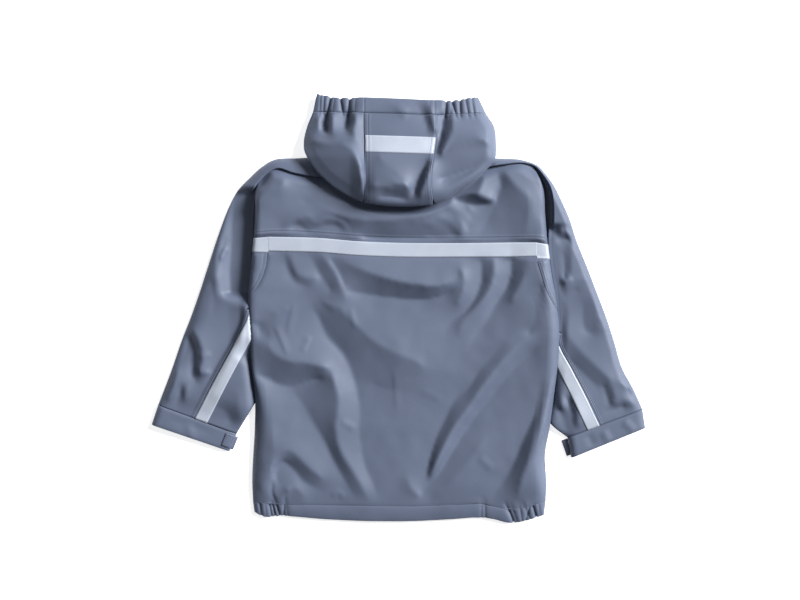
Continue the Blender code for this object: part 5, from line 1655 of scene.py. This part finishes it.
part = np.linspace(0, 1, 84)
start = between(HOOD_SIDE["left"][0].seam_y, HOOD_SIDE["right"][0].seam_y, part)
crown = trace(CROWN, part)[:, 1]
before_band = np.arange(0, 32, 2.2)
band = HOOD_TAPE_START + np.linspace(0, 1, 12) * HOOD_TAPE_WIDTH
after_band = np.arange(58.5, 112, 2.2)
near_crown = np.array([14, 12, 10, 8, 6, 4.5, 3, 2, 1.2, 0.6, 0.2, 0])
upper_y = [start - reach for reach in (*before_band, *band, *after_band)]
upper_y += [crown + reach for reach in near_crown]
under_reach = np.array([0.2, 0.6, 1.4, 3.0, 5.0, 8.0, 12.0, 18.0, 24.0, 32.0, NAPE_REACH])
under_y = [crown + reach * (NAPE_Y - crown) / NAPE_REACH for reach in under_reach]
print("hood centre:", len(upper_y), "rows above,", len(under_y), "below")

# %% Make the hood's centre and its band
y = np.vstack(upper_y + under_y)
count = len(upper_y)
left, right = hood_seam("left", y), hood_seam("right", y)
plan = np.stack([between(left, right, part), y], -1)
from_seam = np.minimum(plan[..., 0] - left, right - plan[..., 0])
layers = 0.45 * ease(from_seam / 1.0) * (1 - ease((from_seam - 7.5) / 2.5))
layers = layers - sum(0.6 * np.exp(-((from_seam - row) / 0.8) ** 2) for row in HOOD_ROWS)
z = np.vstack([hood_top(plan[:count]) + layers[:count], hood_under(plan[count:], REST)])
centre_sheet = points_at(plan, z)
hood_centre = add_cloth("hood_centre_cloth", centre_sheet)
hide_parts("hood_centre")
band_rows = slice(len(before_band), len(before_band) + len(band))
hood_band = add_tape("hood_tape_strip", centre_sheet, rows=band_rows, columns=slice(1, -1))
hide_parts("hood_tape")
print("hood centre:", centre_sheet.shape[:2], "points")

# %% [markdown]
# The brim's casing is like the hem's: doubled cloth with an elastic inside. It follows the
# brim over the top and wraps in under both ends. Its pleats are deep, and some of them run on
# down into the side panels.

# %% Make the hood's casing
BRIM_LENGTH = 245  # gathered but for 76 to 168 mm from its left end
CASING_WIDTH = 21.0
CASING_SEAMS_X = (-48.5, -40.5, 44, 51)  # the panels' seams run on through the casing
WRAP = np.array([0.04, 0.12, 0.25, 0.4, 0.6, 0.8, 1])
stations = np.unique(np.concatenate([np.arange(0, 76, 1.0), np.linspace(76, 168, 30),
                                     np.arange(168, BRIM_LENGTH + 0.5, 1.0)]) / BRIM_LENGTH)
stitch, brim = straight(BRIM_STITCH, stations), trace(BRIM_EDGE, stations)
rows = []
for part in (0, 0.06, 0.12, 0.22, 0.36, 0.5, 0.64, 0.78, 0.9, 1.0):
    plan = between(stitch, brim, part)
    plan[:, 1] += 0.5 * brim_pleats(plan) * part
    from_end = np.minimum(plan[:, 0] - plan[0, 0], plan[-1, 0] - plan[:, 0])
    plump = 1.6 * math.sin(math.pi * part) ** 0.7 - math.exp(-(part * CASING_WIDTH / 1.4) ** 2)
    plump = plump - sum(0.7 * np.exp(-((plan[:, 0] - x) / 0.9) ** 2) for x in CASING_SEAMS_X)
    upper = points_at(plan, hood_top(plan) + plump * ease(from_end / 10))
    ends = []
    for side, first in (("left", plan[0]), ("right", plan[-1])):
        strip = HOOD_SIDE[side][0]
        low = between((strip.in_x, strip.in_y), BRIM_UNDER[side], part)
        under = between(first, low, WRAP[:, None])
        ends.append(points_at(under, hood_under(under, FLOOR)))
    rows.append(np.vstack([ends[0][::-1], upper, ends[1]]))
outer = np.array(rows)
hood_casing = add_cloth("hood_casing_cloth", turned_under(outer, 2.2))
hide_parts("hood_casing")
print("hood casing:", outer.shape[:2], "points")

# %% [markdown]
# ## Snap caps
# Five caps close the front. They lie under the coat. One is modelled from a cylinder: its
# face is inset and pressed in, and its rim is bevelled. The others are copies with their own
# meshes.

# %% Make the snap caps
SNAP_RADIUS = 6.5
SNAP_HEIGHT = 1.2
SNAP_TOP_Y = 146
SNAP_PITCH = 97
bpy.ops.object.select_all(action="DESELECT")
bpy.ops.mesh.primitive_cylinder_add(vertices=48, radius=SNAP_RADIUS * MM, depth=SNAP_HEIGHT * MM,
                                    location=(0, SNAP_TOP_Y * MM, SNAP_HEIGHT / 2 * MM))
first_cap = bpy.context.object
bpy.ops.object.transform_apply(location=True)
bpy.ops.object.mode_set(mode="EDIT")
bpy.ops.mesh.select_all(action="DESELECT")
bpy.ops.object.mode_set(mode="OBJECT")
for face in first_cap.data.polygons:
    face.select = abs(face.normal.z) > 0.9
bpy.ops.object.mode_set(mode="EDIT")
bpy.ops.mesh.inset(thickness=1.6 * MM, depth=-0.25 * MM, use_individual=True)
bpy.ops.object.mode_set(mode="OBJECT")
rim = first_cap.modifiers.new("Rim", "BEVEL")
rim.width = 0.3 * MM
rim.segments = 3
bpy.ops.object.modifier_apply(modifier="Rim")
first_cap.data.shade_smooth()
first_cap.data.materials.append(snap_plastic)
print("one cap:", len(first_cap.data.polygons), "faces")

# %% Copy it along the closing
snaps = [first_cap]
for i in range(1, 5):
    cap = first_cap.copy()
    cap.data = first_cap.data.copy()
    for vertex in cap.data.vertices:
        vertex.co.y -= SNAP_PITCH * i * MM
    bpy.context.scene.collection.objects.link(cap)
    snaps.append(cap)
for i, cap in enumerate(snaps, 1):
    cap.name = f"snap_cap_{i}"
    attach(cap, "root")
    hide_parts(f"snap_{i}")
print("snap caps:", len(snaps))

# %% [markdown]
# ## Stitches
# Topstitching is what makes a seam read as sewn. Every row is a line in plan, laid on its
# panel with the panel's own height rule. Each stitch is a tiny capsule of thread, sunk into its
# groove at both ends.


# %% Lay one row of stitches
PITCH = 3.3
STITCH = 2.5
THREAD = 0.26
RINGS = ((-0.5, 0.35, -0.22), (-0.38, 0.9, -0.02), (0.0, 1.0, 0.08), (0.38, 0.9, -0.02),
         (0.5, 0.35, -0.22))  # each ring's place along the stitch, its size and its height
CORNERS = 6  # on each ring
CAPSULE = len(RINGS) * CORNERS
capsule_quads = [(r * CORNERS + k, r * CORNERS + (k + 1) % CORNERS,
                  (r + 1) * CORNERS + (k + 1) % CORNERS, (r + 1) * CORNERS + k)
                 for r in range(len(RINGS) - 1) for k in range(CORNERS)]
capsule_quads += [(3, 2, 1, 0), (5, 4, 3, 0), (24, 25, 26, 27), (24, 27, 28, 29)]  # both ends


def stitches_along(line):
    """Points of the stitches along a line in space, one capsule after another."""
    run = distance_along(line)
    at = np.arange(PITCH / 2, run[-1], PITCH)
    middle = read_along(run, line, at)
    way = read_along(run, line, at + STITCH / 2) - read_along(run, line, at - STITCH / 2)
    length = np.linalg.norm(way, axis=1)[:, None]
    way = way / length
    side = np.cross(way, (0, 0, 1.0))
    side /= np.linalg.norm(side, axis=1)[:, None]
    up = np.cross(side, way)
    rings = []
    for part, size, height in RINGS:
        centre = middle + way * length * part + up * height
        for a in np.radians(np.arange(0, 360, 360 / CORNERS)):
            rings.append(centre + (side * math.cos(a) + up * math.sin(a)) * THREAD * size)
    return np.stack(rings, 1).reshape(-1, 3)


def add_stitches(name, lines):
    """All the stitch rows of one panel, as one piece."""
    points = np.vstack([stitches_along(line) for line in lines])
    first_points = np.arange(0, len(points), CAPSULE)[:, None, None]
    quads = (np.array(capsule_quads)[None] + first_points).reshape(-1, 4)
    mesh = bpy.data.meshes.new(name)
    mesh.from_pydata((points * MM).tolist(), [], quads.tolist())
    mesh.materials.append(sewing_thread)
    mesh.shade_smooth()
    piece = bpy.data.objects.new(name, mesh)
    bpy.context.scene.collection.objects.link(piece)
    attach(piece, "root")
    print(name, len(points) // CAPSULE, "stitches")
    return piece


# %% Lines beside a seam
def beside(line, distance, count=160):
    """A line in plan, moved to its left by a distance."""
    fine = trace(line, np.linspace(0, 1, count))
    way = np.gradient(fine, axis=0)
    way /= np.linalg.norm(way, axis=1)[:, None]
    return fine + np.stack([-way[:, 1], way[:, 0]], 1) * distance


def cut_ends(line, start, end):
    """The line without its first and last millimetres."""
    run = distance_along(line)
    return line[(run >= start) & (run <= run[-1] - end)]


ON_CLOTH = WALL / 2 + 0.12  # a thread's middle above the middle of the cloth
ON_TAPE = WALL / 2 + TAPE_WALL + 0.17
print("thread lies", round(ON_CLOTH, 2), "mm above the middle of the cloth")

# %% [markdown]
# Two rows hold the yoke's edge, one the hem's casing, and two the armhole seam below the tape.
# Each row is cut short at its ends, so that no stitch hangs over a rolled side.

# %% Stitches on the back and yoke
lines = []
for row in YOKE_ROWS:
    line = cut_ends(beside(yoke_seam, row), 3, 3)
    lines.append(points_at(line, body_height(line) + allowance(line, yoke_seam, -1) + ON_CLOTH))
yoke_stitches = add_stitches("yoke_stitches", lines)

line = beside(hem_seam, HEM_ROW)
gathers = pleats(line, HEM_PLEATS, line[:, 1] - HEM_DEPTH, line[:, 1] - HEM_ROW, beyond=RUN_ON)
z = body_height(line) + 0.5 * gathers - 0.25
hem_stitches = add_stitches("hem_stitches", [cut_ends(points_at(line, z + ON_CLOTH), 4, 4)])

for side in SIDES:
    lines = []
    for row, short in zip(UNDERARM_ROWS, (8, 14)):
        line = beside(ARMHOLE_SEAM[side], OUT[side] * row)
        z = body_height(line) + underarm_allowance(line, side)
        lines.append(cut_ends(points_at(line, z + ON_CLOTH), TAPE_END + 3, short))
    add_stitches("armhole_stitches_" + side, lines)

# %% [markdown]
# On a sleeve the rows lie on the under half, between the seam and the tape. They end where the
# seam goes down to the floor. A cuff has one row, close to the sleeve.

# %% Stitches on the sleeves and cuffs
stations = np.linspace(0.02, 0.985, 80)
for side in SIDES:
    seam = under_sleeves[side][2]
    lines = []
    for row in SLEEVE_ROWS:
        line = beside(seam, -OUT[side] * row)
        z = sewn_sleeve_height(line, seam, side)
        lines.append(cut_ends(points_at(line, z + ON_CLOTH)[z > 4], 1, 2))
    add_stitches("sleeve_stitches_" + side, lines)
    top_outer, top_inner, low_outer, low_inner = cuff_ends(side)
    part = CUFF_ROW / CUFF_DEPTH
    first, last = between(top_outer, low_outer, part), between(top_inner, low_inner, part)
    plan = between(first, last, stations[:, None])
    reach = end_reach(stations, first, last)
    bumps = relief(plan, CUFF_CREASES[side]) * ease(reach / 10) - 0.3
    line = points_at(plan, cuff_wall(reach, True) + bumps * ease(reach / 6) + ON_CLOTH)
    add_stitches("cuff_stitches_" + side, [line])

# %% [markdown]
# The left tab has a box of stitches, given by its corners: how far in from the cuff's end, and
# how far down. The right tab has one row across it.

# %% Stitches on the tabs
TAB_BOX = ((12, 0.2), (12, 0.8), (1.5, 0.8), (1.5, 0.2), (12, 0.2))
TAB_ROW = 6.4  # past the cuff's end
TAB_ROW_HEIGHT = 2.1
for side in SIDES:
    _, top_inner, _, low_inner = cuff_ends(side)
    lines = []
    for (reach, part), (next_reach, next_part) in zip(TAB_BOX[:-1], TAB_BOX[1:]):
        reaches, parts = np.linspace(reach, next_reach, 12), np.linspace(part, next_part, 12)
        plan = between(top_inner, low_inner, parts[:, None]) - way_out(side) * reaches[:, None]
        lines.append(points_at(plan, over_end(reaches) + ON_CLOTH))
    if side == "right":
        plan = between(top_inner, low_inner, np.linspace(0.2, 0.8, 12)[:, None])
        lines = [points_at(plan + way_out(side) * TAB_ROW, np.full(12, TAB_ROW_HEIGHT + ON_CLOTH))]
    add_stitches("tab_stitches_" + side, lines)

# %% [markdown]
# The hood's rows run down both sides of the centre panel, over the taped band as well, and one
# row follows the casing.

# %% Stitches on the hood
lines = []
for side in SIDES:
    y = np.linspace(HOOD_SIDE[side][0].seam_y - 1, 150, 90)
    from_brim = HOOD_SIDE[side][0].seam_y - y
    on_band = (from_brim > HOOD_TAPE_START) & (from_brim < HOOD_TAPE_START + HOOD_TAPE_WIDTH)
    for row in HOOD_ROWS:
        line = np.stack([hood_seam(side, y) - OUT[side] * row, y], 1)
        off = np.where(on_band, ON_TAPE, ON_CLOTH) + 0.2
        lines.append(points_at(line, hood_top(line) + off))
line = straight(BRIM_STITCH, np.linspace(0.03, 0.97, 220)) + (0, BRIM_ROW)
lines.append(points_at(line, hood_top(line) - 0.2 + ON_CLOTH))
hood_stitches = add_stitches("hood_stitches", lines)

# %% [markdown]
# ## The sheets
# Every sheet is gathered into one list.

declared = []


def declare(piece):
    declared.append(piece)


declare(yoke)
declare(back)
declare(back_tape)
declare(hem_casing)
for side in SIDES:
    underarm, underarm_tape = gussets[side]
    declare(underarm)
    declare(underarm_tape)
    declare(fronts[side])
    declare(upper_sleeves[side][0])
    under_sleeve, sleeve_tape, _ = under_sleeves[side]
    declare(under_sleeve)
    declare(sleeve_tape)
    declare(sleeve_fronts[side])
    declare(cuffs[side])
    declare(tabs[side])
    declare(hood_sides[side])
declare(hood_centre)
declare(hood_band)
declare(hood_casing)
print("declared", len(declared), "sheets")
